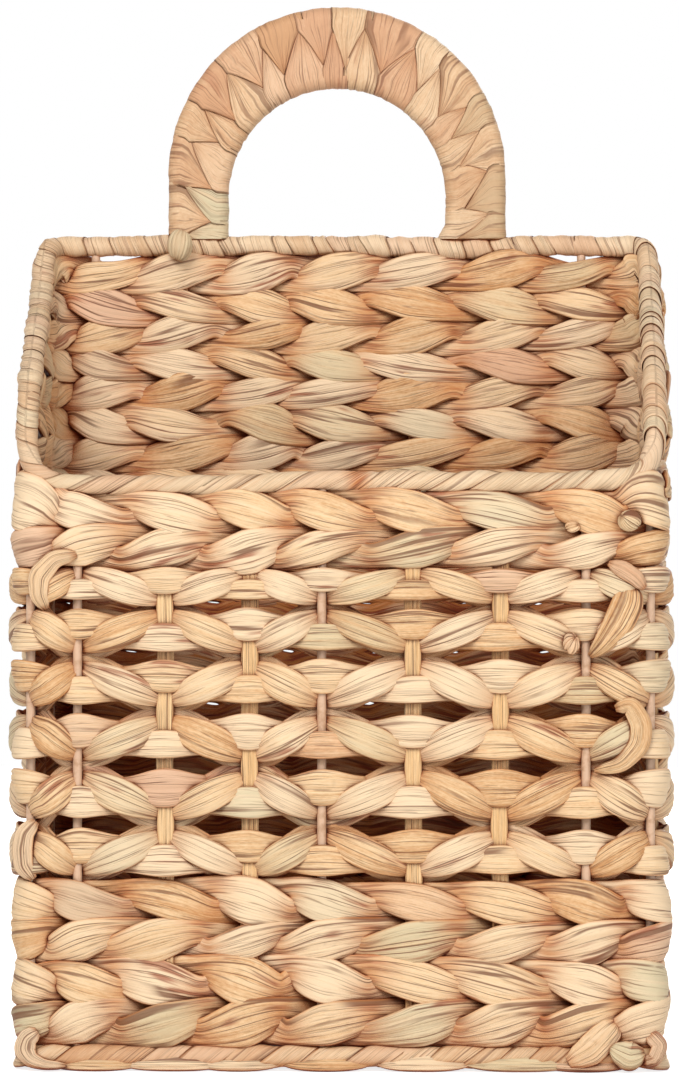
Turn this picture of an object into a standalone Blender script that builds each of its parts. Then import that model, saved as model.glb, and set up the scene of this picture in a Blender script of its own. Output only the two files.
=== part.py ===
# A wall basket: a wire frame woven over with flat twisted leaf strands,
# with a high back, a low front and a wrapped loop handle.
# Metres, +Z up, the front faces -Y, the origin is on the floor under the middle.

import math

import bpy
import bmesh
from mathutils import Vector

# Gap left between pieces that touch
clearance = 0.0003

# Body, measured on the middle planes of the walls
body_width = 0.256
body_depth = 0.110
corner_radius = 0.008
front_height = 0.2383       # middle of the rim wire along the front
back_height = 0.3398        # middle of the rim wire along the back

# Wires
rib_diameter = 0.0037
post_diameter = 0.0037
rim_wire_diameter = 0.0045
base_wire_diameter = 0.0045
handle_wire_diameter = 0.0037
rib_bend_inside = 0.0022

# Cord stakes
cord_width = 0.0070
cord_thickness = 0.0038
cord_cut_share = 0.25       # how much of its thickness each corner loses

# Wound leaf
rim_wrap_diameter = 0.0104
base_wrap_diameter = 0.0104

# Woven leaf
strand_thickness = 0.0036
leaf_slant = 0.0045         # how far the edges of a twined leaf lean along the wall
base_strand_thickness = 0.0032
base_strand_width = 0.0150
crossing_length = 0.0030    # where the strands of a course hold each other

# Handle
handle_radius = 0.0585      # middle line of the arch
handle_wire_spacing = 0.0155
handle_leg_length = 0.0300  # from the rim wire to the start of the outer arch
handle_inner_drop = 0.0090  # how far the inner arch starts below the outer one
handle_offset = -0.0040     # the arch stands a little to the left
handle_wrap_diameter = 0.0100
handle_waist_thickness = 0.0062
knot_diameter = 0.0104
knot_height = 0.0132

# Rim: how far it drops in along the front before it is level
rim_run_in = 0.0100

# Places of the stakes across the front and back, as shares of the width
stake_place_shares = (-0.416, -0.277, -0.143, -0.029, 0.116, 0.253, 0.389)
wire_places = (0, 3, 6)
side_place_shares = (-0.167, 0.167)

# Heights of the courses, as shares of the wall between base rod and front rim
lower_zone_share = 0.290
star_zone_share = 0.581
lower_courses = 4
upper_courses = 2
back_courses = 8
star_centre_shares = (0.0, 0.177, 0.367, 0.541, 0.712, 0.873, 1.0)

# Star courses, as shares of the height between two rows of star centres
front_leaf_shares = (0.60, 0.30)    # middle below the centre, half height
rear_leaf_shares = (0.17, 0.11)
crossing_shares = (0.50, 0.44)

# Rise of the side rim: share of the depth from the front, share of the height
rim_rise_shares = ((0.0, 0.12), (0.07, 0.29), (0.20, 0.41), (0.44, 0.56),
                   (0.70, 0.69), (0.93, 0.84), (1.0, 1.0))
front_corner_rise_shares = (0.0, 0.015, 0.03, 0.05, 0.075, 0.12)

base_strands = 5
corner_steps = 4
arch_steps = 16
wire_resolution = 1

# Colours: name, colour, roughness, metallic
paint = ("tan_paint", (0.56, 0.42, 0.32, 1.0), 0.45, 0.0)
leaf = ("pale_leaf", (0.74, 0.52, 0.31, 1.0), 0.65, 0.0)
wound_leaf = ("wound_leaf", (0.70, 0.50, 0.33, 1.0), 0.60, 0.0)
cord = ("golden_cord", (0.68, 0.46, 0.22, 1.0), 0.70, 0.0)

# Sizes that follow from the ones above
half_width = body_width / 2
half_depth = body_depth / 2
rib_radius = rib_diameter / 2
post_radius = post_diameter / 2
rim_wire_radius = rim_wire_diameter / 2
base_wire_radius = base_wire_diameter / 2
rim_wrap_radius = rim_wrap_diameter / 2
base_wrap_radius = base_wrap_diameter / 2
eighth_turn = math.pi / 4
flat_ratio = math.cos(eighth_turn / 2)
base_level = base_wrap_radius * flat_ratio      # middle of the base wire
slot_half = max(rib_radius, post_radius, cord_thickness / 2) + clearance
diagonal = math.sqrt(2)
reach_rounds = 6            # the slope of a leaf and its reach settle in a few rounds


def make_material(spec):
    name, colour, roughness, metallic = spec
    material = bpy.data.materials.get(name) or bpy.data.materials.new(name)
    material.use_nodes = True
    shader = material.node_tree.nodes["Principled BSDF"]
    shader.inputs["Base Color"].default_value = colour
    shader.inputs["Roughness"].default_value = roughness
    shader.inputs["Metallic"].default_value = metallic
    return material


def add_mesh(name, mesh_builder, spec, smooth_angle=None):
    built = bmesh.new()
    mesh_builder(built)
    bmesh.ops.recalc_face_normals(built, faces=built.faces)
    mesh = bpy.data.meshes.new(name)
    built.to_mesh(mesh)
    built.free()
    mesh.materials.append(make_material(spec))
    if smooth_angle is not None:
        mesh.shade_smooth()
        mesh.set_sharp_from_angle(angle=smooth_angle)
    part = bpy.data.objects.new(name, mesh)
    bpy.context.scene.collection.objects.link(part)
    return part


def add_wire(name, points, radius, spec, closed=False):
    curve = bpy.data.curves.new(name, "CURVE")
    curve.dimensions = "3D"
    curve.bevel_depth = radius
    curve.bevel_resolution = wire_resolution
    curve.use_fill_caps = not closed
    spline = curve.splines.new("POLY")
    spline.points.add(len(points) - 1)
    for spot, point in zip(spline.points, points):
        spot.co = (*point, 1.0)
    spline.use_cyclic_u = closed
    curve.materials.append(make_material(spec))
    part = bpy.data.objects.new(name, curve)
    bpy.context.scene.collection.objects.link(part)
    return part


def skin(built, rings, closed):
    # Joins rings of points into a tube, and caps the ends of an open one
    rows = [[built.verts.new(point) for point in ring] for ring in rings]
    count = len(rows[0])
    last = len(rows) if closed else len(rows) - 1
    for index in range(last):
        near, far = rows[index], rows[(index + 1) % len(rows)]
        for side in range(count):
            other = (side + 1) % count
            built.faces.new((near[side], near[other], far[other], far[side]))
    if not closed:
        built.faces.new(rows[0])
        built.faces.new(rows[-1])


def rise_at(depth_share):
    # Share of the rim's climb at a share of the depth, and its slope there
    for (near, low), (far, high) in zip(rim_rise_shares, rim_rise_shares[1:]):
        if depth_share <= far:
            break
    slope = (high - low) / (far - near)
    return low + slope * (depth_share - near), slope


def rim_height(y):
    # Height of the rim wire over a side wall, and its slope in metres a metre
    start = -half_depth + corner_radius
    run = body_depth - 2 * corner_radius
    share = min(max((y - start) / run, 0.0), 1.0)
    level, slope = rise_at(share)
    climb = back_height - front_height
    return front_height + level * climb, slope * climb / run


def corner_arc(x_side, y_side):
    # Points and normals round one corner, from the front or back to the side
    centre = Vector((x_side * (half_width - corner_radius), y_side * (half_depth - corner_radius)))
    arc = []
    for step in range(corner_steps + 1):
        angle = step / corner_steps * 2 * eighth_turn
        normal = Vector((x_side * math.sin(angle), y_side * math.cos(angle)))
        arc.append((centre + corner_radius * normal, normal))
    return arc


def ring_path(height_of):
    # Once round the walls, counter-clockwise from above: place and normal
    path = []
    right_front = corner_arc(1, -1)
    right_back = corner_arc(1, 1)[::-1]
    straight_end = half_width - corner_radius
    path.append((Vector((straight_end - rim_run_in, -half_depth)), Vector((0.0, -1.0)), "front", 0))
    for step, (place, normal) in enumerate(right_front):
        path.append((place, normal, "front corner", step + 1))
    for share, _ in rim_rise_shares[1:-1]:
        y = -half_depth + corner_radius + share * (body_depth - 2 * corner_radius)
        path.append((Vector((half_width, y)), Vector((1.0, 0.0)), "side", y))
    for place, normal in right_back:
        path.append((place, normal, "back", 0))
    mirrored = [(Vector((-place.x, place.y)), Vector((-normal.x, normal.y)), zone, at)
                for place, normal, zone, at in reversed(path)]
    return [(Vector((place.x, place.y, height_of(zone, at))), Vector((normal.x, normal.y, 0.0)))
            for place, normal, zone, at in path + mirrored]


def rim_level(zone, at):
    climb = back_height - front_height
    if zone == "side":
        return rim_height(at)[0]
    if zone == "back":
        return back_height
    if zone == "front":
        return front_height
    return front_height + front_corner_rise_shares[at] * climb


def flat_base_level(zone, at):
    return base_level


def sweep_rings(path, outline):
    # Rings of outline points (outwards, upwards) square to a closed path
    rings = []
    count = len(path)
    for index, (place, normal) in enumerate(path):
        before = (place - path[index - 1][0]).normalized()
        after = (path[(index + 1) % count][0] - place).normalized()
        along = (before + after).normalized()
        up = normal.cross(along).normalized()
        if up.z < 0:
            up = -up
        stretch = 1 / max(along.dot(after), flat_ratio)
        flat = stretch if abs(normal.x * normal.y) > 0 else 1.0
        tall = 1.0 if flat > 1.0 else stretch
        rings.append([place + normal * out * flat + up * high * tall for out, high in outline])
    return rings


def octagon(radius, first, last):
    # Points on a circle every eighth of a turn, on half eighths
    return [(radius * math.cos((step + 0.5) * eighth_turn), radius * math.sin((step + 0.5) * eighth_turn))
            for step in range(first, last + 1)]


def rim_wrap_outline():
    # Round the wire from the slot under it and back to the slot
    bore = (rim_wire_radius + clearance) / flat_ratio
    outer_drop = -math.sqrt(rim_wrap_radius ** 2 - slot_half ** 2)
    bore_drop = -math.sqrt(bore ** 2 - slot_half ** 2)
    outside = [(slot_half, outer_drop)] + octagon(rim_wrap_radius, -1, 4) + [(-slot_half, outer_drop)]
    inside = [(-slot_half, bore_drop)] + octagon(bore, 0, 3)[::-1] + [(slot_half, bore_drop)]
    return outside + inside


def base_wrap_outline():
    # Round the wire from the inner side, under it and up to the outer side
    bore = (base_wire_radius + clearance) / flat_ratio
    outer_rise = math.sqrt(base_wrap_radius ** 2 - slot_half ** 2)
    bore_rise = math.sqrt(bore ** 2 - slot_half ** 2)
    outside = [(-base_wrap_radius * flat_ratio, 0.0)] + octagon(base_wrap_radius, -4, 0)
    inside = octagon(bore, -4, -1)[::-1] + [(-bore * flat_ratio, 0.0)]
    return outside + [(slot_half, outer_rise), (slot_half, bore_rise)] + inside


def add_frame_rings():
    rim_path = ring_path(rim_level)
    base_path = ring_path(flat_base_level)
    add_wire("rim_wire", [place for place, normal in rim_path], rim_wire_radius, paint, closed=True)
    add_wire("base_wire", [place for place, normal in base_path], base_wire_radius, paint, closed=True)
    wrap = add_mesh("rim_wrap", lambda built: skin(built, sweep_rings(rim_path, rim_wrap_outline()), True),
                    wound_leaf)
    cut_leg_holes(wrap)
    add_mesh("base_wrap", lambda built: skin(built, sweep_rings(base_path, base_wrap_outline()), True),
             wound_leaf)


def handle_legs():
    # Distance of each wire of the handle from the middle of the arch
    half = handle_wire_spacing / 2
    return {"inner": handle_radius - half, "outer": handle_radius + half}


def handle_springs():
    # Height at which the arch of each wire starts
    outer = back_height + handle_leg_length
    return {"inner": outer - handle_inner_drop, "outer": outer}


def cut_leg_holes(wrap):
    # One hole through the top of the rim wrap for each leg of the handle
    radius = (handle_wire_diameter / 2 + clearance) / flat_ratio
    length = rim_wrap_radius

    def build(built):
        for reach in handle_legs().values():
            for side in (-1, 1):
                low = Vector((handle_offset + side * reach, half_depth, back_height + rim_wire_radius / 2))
                rings = []
                for high in (0.0, length):
                    rings.append([low + Vector((out, deep, high)) for out, deep in octagon(radius, 0, 7)])
                skin(built, rings, False)

    cutter = add_mesh("leg_hole_cutter", build, paint)
    cutter.hide_render = True
    cutter.display_type = "WIRE"
    cut = wrap.modifiers.new("leg holes", "BOOLEAN")
    cut.operation = "DIFFERENCE"
    cut.solver = "EXACT"
    cut.object = cutter


def arch_path(side, start):
    # Up one leg, over the arch and down the other, in the plane of the back
    radius, spring = handle_legs()[side], handle_springs()[side]
    points = [Vector((handle_offset - radius, half_depth, start))]
    for step in range(arch_steps + 1):
        angle = math.pi * (1 - step / arch_steps)
        points.append(Vector((handle_offset + radius * math.cos(angle), half_depth,
                              spring + radius * math.sin(angle))))
    points.append(Vector((handle_offset + radius, half_depth, start)))
    return points


def add_handle():
    start = back_height + rim_wire_radius + clearance
    for side in handle_legs():
        add_wire(f"handle_{side}_wire", arch_path(side, start), handle_wire_diameter / 2, paint)
    add_mesh("handle_wrap", build_handle_wrap, wound_leaf)
    add_knot()


def build_handle_wrap(built):
    # Two lobes round the wires and a waist between them, bored for both wires
    lobe = handle_wrap_diameter / 2
    bore = (handle_wire_diameter / 2 + clearance) / flat_ratio
    waist = handle_waist_thickness / 2
    sides = 8
    foot = back_height + rim_wrap_radius + clearance
    centre = Vector((handle_offset, half_depth, handle_springs()["outer"]))
    rows = []
    for outer, inner in zip(arch_path("outer", foot), arch_path("inner", foot)):
        away = outer - centre
        away.z = max(away.z, 0.0)
        away.normalize()
        middle = (outer + inner) / 2
        neck = [built.verts.new(middle + Vector((0.0, side * waist, 0.0))) for side in (1, -1)]
        row = {}
        for sign, place in ((1, outer), (-1, inner)):
            ring, hole = [], []
            for step in range(sides):
                turn = (step + 0.5) * 2 * math.pi / sides
                out, deep = sign * math.cos(turn), math.sin(turn)
                hole.append(built.verts.new(place + away * bore * out + Vector((0.0, bore * deep, 0.0))))
                if step in (sides // 2 - 1, sides // 2):
                    ring.append(neck[step - sides // 2 + 1])
                else:
                    ring.append(built.verts.new(place + away * lobe * out + Vector((0.0, lobe * deep, 0.0))))
            row[sign] = (ring, hole)
        rows.append(row)
    for near, far in zip(rows, rows[1:]):
        for sign in (1, -1):
            for kind in (0, 1):
                ring_a, ring_b = near[sign][kind], far[sign][kind]
                for step in range(sides):
                    other = (step + 1) % sides
                    if kind == 0 and step == sides // 2 - 1:
                        continue
                    built.faces.new((ring_a[step], ring_a[other], ring_b[other], ring_b[step]))
    for row in (rows[0], rows[-1]):
        for sign in (1, -1):
            ring, hole = row[sign]
            for step in range(sides):
                other = (step + 1) % sides
                built.faces.new((ring[step], ring[other], hole[other], hole[step]))


def add_knot():
    # A small ball of leaf on the front of the rim, below the left leg
    radius = knot_diameter / 2
    reach = handle_legs()["outer"]
    front = half_depth - rim_wrap_radius - clearance - radius
    place = Vector((handle_offset - reach, front, back_height))

    def build(built):
        bmesh.ops.create_uvsphere(built, u_segments=10, v_segments=6, radius=radius)
        bmesh.ops.scale(built, verts=built.verts, vec=Vector((1.0, 1.0, knot_height / knot_diameter)))
        bmesh.ops.translate(built, verts=built.verts, vec=place)

    add_mesh("handle_knot", build, wound_leaf, smooth_angle=eighth_turn)


def rib_level(thickness):
    # Height of a rib's run under the basket, so that its bend rests on the base wire
    bend = rib_bend_inside + thickness / 2
    reach = bend + base_wire_radius + clearance + thickness / 2
    return base_level + math.sqrt(reach ** 2 - bend ** 2) - bend


def stake_top(level, slope=0.0, half=0.0):
    # A stake ends just under the rim wire, lower where the rim slopes across it
    lean = math.sqrt(1 + slope ** 2)
    return level - (rim_wire_radius + clearance) * lean - abs(slope) * half


def rib_path(x, thickness):
    # Down the front wall, under the basket and up the back wall
    low = rib_level(thickness)
    bend = rib_bend_inside + thickness / 2
    steps = 3
    front = [Vector((x, -half_depth, stake_top(front_height)))]
    for step in range(steps + 1):
        angle = step / steps * 2 * eighth_turn
        in_from_wall = bend - bend * math.cos(angle)
        up_from_run = bend - bend * math.sin(angle)
        front.append(Vector((x, -half_depth + in_from_wall, low + up_from_run)))
    back = [Vector((x, -point.y, point.z)) for point in reversed(front)]
    back[-1].z = stake_top(back_height)
    return front + back


def cord_outline():
    # A flat cord with cut corners: places along and across its width
    half, thin = cord_width / 2, cord_thickness / 2
    cut = cord_thickness * cord_cut_share
    quarter = [(half, thin - cut), (half - cut, thin)]
    upper = quarter + [(-wide, deep) for wide, deep in reversed(quarter)]
    return upper + [(-wide, -deep) for wide, deep in upper]


def strip_rings(path):
    # A cord along a path in a plane of equal x
    rings = []
    for index, place in enumerate(path):
        before = path[max(index - 1, 0)]
        after = path[min(index + 1, len(path) - 1)]
        along = (after - before).normalized()
        across = Vector((1.0, 0.0, 0.0))
        out = along.cross(across).normalized()
        rings.append([place + across * wide + out * deep for wide, deep in cord_outline()])
    return rings


def add_stakes():
    for index, share in enumerate(stake_place_shares):
        x = share * body_width
        if index in wire_places:
            name = f"wire_rib_{wire_places.index(index) + 1}"
            add_wire(name, rib_path(x, rib_diameter), rib_radius, paint)
        else:
            name = f"cord_stake_{index + 1}"
            rings = strip_rings(rib_path(x, cord_thickness))
            add_mesh(name, lambda built, rings=rings: skin(built, rings, False), cord)
    add_upright_stakes(base_level + base_wire_radius + clearance)


def add_upright_stakes(foot):
    # Corner posts and side cords stand on the base wire
    for x_name, x_side in (("left", -1), ("right", 1)):
        for y_name, y_side in (("front", -1), ("back", 1)):
            place = corner_arc(x_side, y_side)[corner_steps // 2][0]
            level = back_height if y_side > 0 else rim_level("front corner", corner_steps // 2 + 1)
            slope = 0.0 if y_side > 0 else front_corner_slope()
            top = stake_top(level, slope, post_radius)
            add_wire(f"corner_post_{y_name}_{x_name}",
                     [Vector((place.x, place.y, foot)), Vector((place.x, place.y, top))], post_radius, paint)
        for y_name, share in zip(("front", "back"), side_place_shares):
            add_side_stake(f"side_cord_{y_name}_{x_name}", x_side * half_width, share * body_depth, foot)


def front_corner_slope():
    # Steepness of the rim round the front corner
    middle = corner_steps // 2 + 1
    rise = front_corner_rise_shares[middle + 1] - front_corner_rise_shares[middle]
    return rise * (back_height - front_height) / (corner_radius * 2 * eighth_turn / corner_steps)


def add_side_stake(name, x, y, foot):
    level, slope = rim_height(y)
    top = stake_top(level, slope, cord_width / 2)
    rings = [[Vector((x + deep, y + wide, high)) for wide, deep in cord_outline()] for high in (foot, top)]
    add_mesh(name, lambda built: skin(built, rings, False), cord)


class Station:
    # A stake as a course meets it: its place, the way out of the wall, its half
    # sizes along and across the wall, and how much its corners are cut
    def __init__(self, place, normal, half_sizes, stretch, kind):
        self.place = place
        self.normal = normal
        self.half_sizes = half_sizes
        self.stretch = stretch
        self.kind = kind


def wire_half_sizes(radius):
    # A round wire fits an eight-sided bar of the same width
    return radius, radius, radius * (2 - diagonal)


def cord_half_sizes():
    return cord_width / 2, cord_thickness / 2, cord_thickness * cord_cut_share


def make_stations():
    # Every stake once round the basket, counter-clockwise from the front left corner
    def half_sizes(index):
        return wire_half_sizes(rib_radius) if index in wire_places else cord_half_sizes()

    def corner(x_side, y_side):
        place, normal = corner_arc(x_side, y_side)[corner_steps // 2]
        return Station(place, normal, wire_half_sizes(post_radius), diagonal, "corner")

    stations = [corner(-1, -1)]
    for index, share in enumerate(stake_place_shares):
        stations.append(Station(Vector((share * body_width, -half_depth)), Vector((0.0, -1.0)),
                                half_sizes(index), 1.0, "front"))
    stations.append(corner(1, -1))
    for share in side_place_shares:
        stations.append(Station(Vector((half_width, share * body_depth)), Vector((1.0, 0.0)),
                                cord_half_sizes(), 1.0, "right"))
    stations.append(corner(1, 1))
    for index, share in reversed(list(enumerate(stake_place_shares))):
        stations.append(Station(Vector((share * body_width, half_depth)), Vector((0.0, 1.0)),
                                half_sizes(index), 1.0, "back"))
    stations.append(corner(-1, 1))
    for share in reversed(side_place_shares):
        stations.append(Station(Vector((-half_width, share * body_depth)), Vector((-1.0, 0.0)),
                                cord_half_sizes(), 1.0, "left"))
    return stations


def span_between(first, second):
    # Middle of the wall between two stakes, the way along it, the way out and its length
    straight = second if first.kind == "corner" else first
    out = straight.normal
    along = Vector((-out.y, out.x))
    length = (second.place - first.place).dot(along)
    if first.kind == "corner":
        start = second.place - along * length
    else:
        start = first.place
    return start + along * length / 2, along, out, length


def side_normal(station):
    # The way out of the side wall that a corner post ends
    return Vector((math.copysign(1.0, station.place.x), 0.0))


def clear_reach(half_sizes, half, slant=0.0, extra=0.0):
    # How far from a stake's middle a slanting face passes without touching it,
    # where the strand comes back to the middle at a distance of half, and its
    # edges lean along the wall by slant
    wide, deep, cut = half_sizes
    reach = deep + clearance
    for _ in range(reach_rounds):
        slope = (reach + extra) / (half + slant)
        flat_side = deep + slope * (wide + slant - cut)
        cut_side = deep - cut + slope * (wide + slant)
        reach = max(flat_side, cut_side) + clearance * math.sqrt(1 + slope ** 2)
    return reach


def lift(place, high):
    return Vector((place.x, place.y, high))


def build_course(built, stations, leaf_at, crossing_at, slant=0.0, ends=None):
    # A course has a leaf in front of each stake and one behind it, and a crossing
    # between the stakes where the two hold each other. leaf_at gives the middle and
    # half height of both leaves at a stake, crossing_at those of a crossing. A course
    # with ends stops that far past its first and last stake, the others go round.
    closed = ends is None
    count = len(stations)
    middle_thickness = strand_thickness * 3 / 4
    spans = []
    for index in range(count if closed else count - 1):
        spans.append(span_between(stations[index], stations[(index + 1) % count]))
    if not closed:
        first, last = stations[0], stations[-1]
        away = ends - crossing_length / 2
        for station, way in ((last, 1), (first, -1)):
            out = side_normal(station) if station.kind == "corner" else station.normal
            along = Vector((-out.y, out.x))
            spans.append((station.place + along * away * way, along, out, 2 * away))

    def crossing_ring(place, out, high, half):
        flat = Vector((out.x, out.y, 0.0))
        base = lift(place, high)
        return [built.verts.new(base + flat * middle_thickness),
                built.verts.new(base + Vector((0.0, 0.0, half))),
                built.verts.new(base - flat * middle_thickness),
                built.verts.new(base - Vector((0.0, 0.0, half)))]

    crossings = []
    for index, (middle, along, out, length) in enumerate(spans):
        high, half = crossing_at(index)
        near = crossing_ring(middle - along * crossing_length / 2, out, high, half)
        far = crossing_ring(middle + along * crossing_length / 2, out, high, half)
        for side in range(4):
            other = (side + 1) % 4
            built.faces.new((near[side], near[other], far[other], far[side]))
        if not closed and index == len(spans) - 2:
            built.faces.new(far)
        if not closed and index == len(spans) - 1:
            built.faces.new(near)
        crossings.append((near, far))

    for index, station in enumerate(stations):
        before = crossings[index - 1][1]
        after = crossings[index][0]
        lengths = (spans[index - 1][3], spans[index][3])
        lean = 0.0 if station.kind == "corner" else slant
        half_span = min(lengths) / 2 - crossing_length / 2
        reach = clear_reach(station.half_sizes, half_span, abs(lean)) * station.stretch
        thick = strand_thickness * station.stretch
        along = Vector((-station.normal.y, station.normal.x, 0.0)) * lean
        for sign, (high, half) in zip((1, -1), leaf_at(index)):
            out = Vector((station.normal.x, station.normal.y, 0.0)) * sign
            base = lift(station.place, high)
            ridge = built.verts.new(base + out * (reach + thick))
            edge_rise = Vector((0.0, 0.0, half)) + along * sign
            top = built.verts.new(base + out * reach + edge_rise)
            bottom = built.verts.new(base + out * reach - edge_rise)
            edge = 0 if sign > 0 else 2
            for end in (before, after):
                built.faces.new((ridge, top, end[1], end[edge]))
                built.faces.new((ridge, bottom, end[3], end[edge]))
                built.faces.new((top, bottom, end[3], end[1]))


def wall_zone():
    # The part of the wall that the courses fill: from the ribs' bends to the front rim
    bend = max(rib_level(thickness) + rib_bend_inside + thickness / 2
               for thickness in (rib_diameter, cord_thickness))
    low = max(bend, base_level + base_wrap_radius) + clearance
    return low, front_height - rim_wrap_radius - clearance


def add_twined_course(name, stations, low, high, lean, ends=None):
    # Two strands twisted about each other once between stakes
    middle = (low + high) / 2
    half = (high - low - clearance) / 2
    add_mesh(name, lambda built: build_course(built, stations, lambda index: ((middle, half), (middle, half)),
                                              lambda index: (middle, half), lean * leaf_slant, ends), leaf)


def add_full_courses(stations):
    low, high = wall_zone()
    height = high - low
    star_low = low + lower_zone_share * height
    star_high = star_low + star_zone_share * height
    for number in range(lower_courses):
        step = (star_low - low) / lower_courses
        add_twined_course(f"lower_course_{number + 1}", stations, low + number * step,
                          low + (number + 1) * step, turn_of(number))
    for number in range(upper_courses):
        step = (high - star_high) / upper_courses
        add_twined_course(f"upper_course_{number + 1}", stations, star_high + number * step,
                          star_high + (number + 1) * step, turn_of(number))
    centres = [star_low + share * (star_high - star_low) for share in star_centre_shares]
    for number, (bottom, top) in enumerate(zip(centres, centres[1:])):
        add_star_course(f"star_course_{number + 1}", stations, bottom, top, number)


def turn_of(number):
    # Courses lean to the right and to the left by turns
    return 1 if number % 2 == 0 else -1


def add_star_course(name, stations, bottom, top, number):
    # The leaf in front of a stake hangs under its star centre, or rises over the one
    # below it, by turns, and the strands behind it gather close to the centre
    gap = top - bottom

    def leaf_at(index):
        hangs = (index + number) % 2 == 0
        front, rear = front_leaf_shares, rear_leaf_shares
        if hangs:
            return ((top - front[0] * gap, front[1] * gap), (top - rear[0] * gap, rear[1] * gap))
        return ((bottom + front[0] * gap, front[1] * gap), (bottom + rear[0] * gap, rear[1] * gap))

    add_mesh(name, lambda built: build_course(
        built, stations, leaf_at,
        lambda index: (top - crossing_shares[0] * gap, crossing_shares[1] * gap)), leaf)


def side_end(level):
    # How far forward a course of this top height runs before it meets the sloped rim
    steps = 40
    run = body_depth - 2 * corner_radius
    best = None
    for step in range(steps + 1):
        y = half_depth - corner_radius - step / steps * run
        height, slope = rim_height(y)
        if height - (rim_wrap_radius + clearance) * math.sqrt(1 + slope ** 2) < level:
            return best
        best = y
    return best


def add_back_courses(stations):
    low, high = wall_zone()[1], back_height - rim_wrap_radius - clearance
    step = (high - low - clearance) / back_courses
    backs = [station for station in stations if station.kind == "back"]
    rights = [station for station in stations if station.kind == "right"]
    lefts = [station for station in stations if station.kind == "left"]
    corners = [station for station in stations if station.kind == "corner" and station.place.y > 0]
    right_corner = max(corners, key=lambda station: station.place.x)
    left_corner = min(corners, key=lambda station: station.place.x)
    for number in range(back_courses):
        bottom = low + clearance + number * step
        top = bottom + step
        chain, length = back_chain(side_end(top), backs, rights, lefts, right_corner, left_corner)
        add_twined_course(f"back_course_{number + 1}", chain, bottom, top, turn_of(number + 1), length)


def back_chain(end, backs, rights, lefts, right_corner, left_corner):
    # The stakes that a back course holds, and how far it runs past the last ones
    room = cord_width / 2 + 3 * crossing_length
    if end is None or right_corner.place.y - end < room:
        return backs, half_width - corner_radius - max(abs(station.place.x) for station in backs)
    chain = [station for station in rights if station.place.y - end > room]
    chain += [right_corner] + backs + [left_corner]
    chain += [station for station in lefts if station.place.y - end > room]
    last = chain[0].place.y
    keep_off = cord_width / 2 + crossing_length
    ahead = [station.place.y + keep_off for station in rights if station.place.y < last]
    return chain, last - max(ahead + [end])


def add_base_strands():
    # Strands from side to side, over and under the ribs by turns
    count = base_strands
    step = body_depth / (count + 1)
    narrowest = min(far - near for near, far in zip(stake_place_shares, stake_place_shares[1:])) * body_width
    reach = half_width - base_wrap_radius - clearance
    for number in range(count):
        y = -half_depth + (number + 1) * step
        width = min(base_strand_width, step - clearance)
        spots = [(-reach, rib_level(cord_thickness))]
        for index, share in enumerate(stake_place_shares):
            thick = rib_diameter if index in wire_places else cord_thickness
            over = 1 if (index + number) % 2 == 0 else -1
            half_sizes = wire_half_sizes(rib_radius) if index in wire_places else cord_half_sizes()
            half = base_strand_thickness / 2
            rise = clear_reach(half_sizes, narrowest / 2, extra=half) + half
            spots.append((share * body_width, rib_level(thick) + over * rise))
        spots.append((reach, rib_level(cord_thickness)))
        rings = []
        for x, high in spots:
            place = Vector((x, y, high))
            rings.append([place + Vector((0.0, width / 2, 0.0)),
                          place + Vector((0.0, 0.0, base_strand_thickness / 2)),
                          place - Vector((0.0, width / 2, 0.0)),
                          place - Vector((0.0, 0.0, base_strand_thickness / 2))])
        add_mesh(f"base_strand_{number + 1}", lambda built, rings=rings: skin(built, rings, False), leaf)


def main():
    for item in list(bpy.data.objects):
        bpy.data.objects.remove(item, do_unlink=True)
    stations = make_stations()
    add_frame_rings()
    add_handle()
    add_stakes()
    add_full_courses(stations)
    add_back_courses(stations)
    add_base_strands()


main()
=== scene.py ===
import math

import bpy
import numpy as np
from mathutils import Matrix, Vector


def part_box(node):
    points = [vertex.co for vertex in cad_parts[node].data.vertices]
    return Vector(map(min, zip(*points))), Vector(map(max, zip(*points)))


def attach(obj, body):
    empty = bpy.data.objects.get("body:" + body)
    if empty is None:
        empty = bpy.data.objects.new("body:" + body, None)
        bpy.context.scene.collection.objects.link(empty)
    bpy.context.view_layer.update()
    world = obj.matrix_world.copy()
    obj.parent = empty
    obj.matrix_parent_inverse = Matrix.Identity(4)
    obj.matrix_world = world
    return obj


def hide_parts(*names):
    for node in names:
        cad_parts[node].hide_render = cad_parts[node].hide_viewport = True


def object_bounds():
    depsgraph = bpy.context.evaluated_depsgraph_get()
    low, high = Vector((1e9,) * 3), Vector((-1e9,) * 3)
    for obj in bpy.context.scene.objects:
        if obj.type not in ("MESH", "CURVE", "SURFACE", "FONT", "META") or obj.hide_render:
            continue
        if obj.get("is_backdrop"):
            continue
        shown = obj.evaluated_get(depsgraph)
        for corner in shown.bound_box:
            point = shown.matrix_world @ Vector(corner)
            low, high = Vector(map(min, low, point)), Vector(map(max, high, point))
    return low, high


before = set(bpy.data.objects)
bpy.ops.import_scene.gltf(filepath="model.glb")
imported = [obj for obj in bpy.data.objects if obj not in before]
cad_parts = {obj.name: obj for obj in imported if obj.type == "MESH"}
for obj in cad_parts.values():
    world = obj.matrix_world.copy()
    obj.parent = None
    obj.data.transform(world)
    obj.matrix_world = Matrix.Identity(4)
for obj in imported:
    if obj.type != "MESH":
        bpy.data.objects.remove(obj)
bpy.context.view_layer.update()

print("frame loaded")

mm = 0.001
fullTurn = 2 * math.pi
quarterTurn = math.pi / 2
acrossAxis, depthAxis, upAxis = np.eye(3)
white = (1.0, 1.0, 1.0, 1.0)


# Small helpers

def screenColour(red, green, blue):
    # A colour as a screen shows it, 0 to 255, as Blender's linear colour
    return tuple(((c / 255 + 0.055) / 1.055) ** 2.4 for c in (red, green, blue)) + (1.0,)


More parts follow.
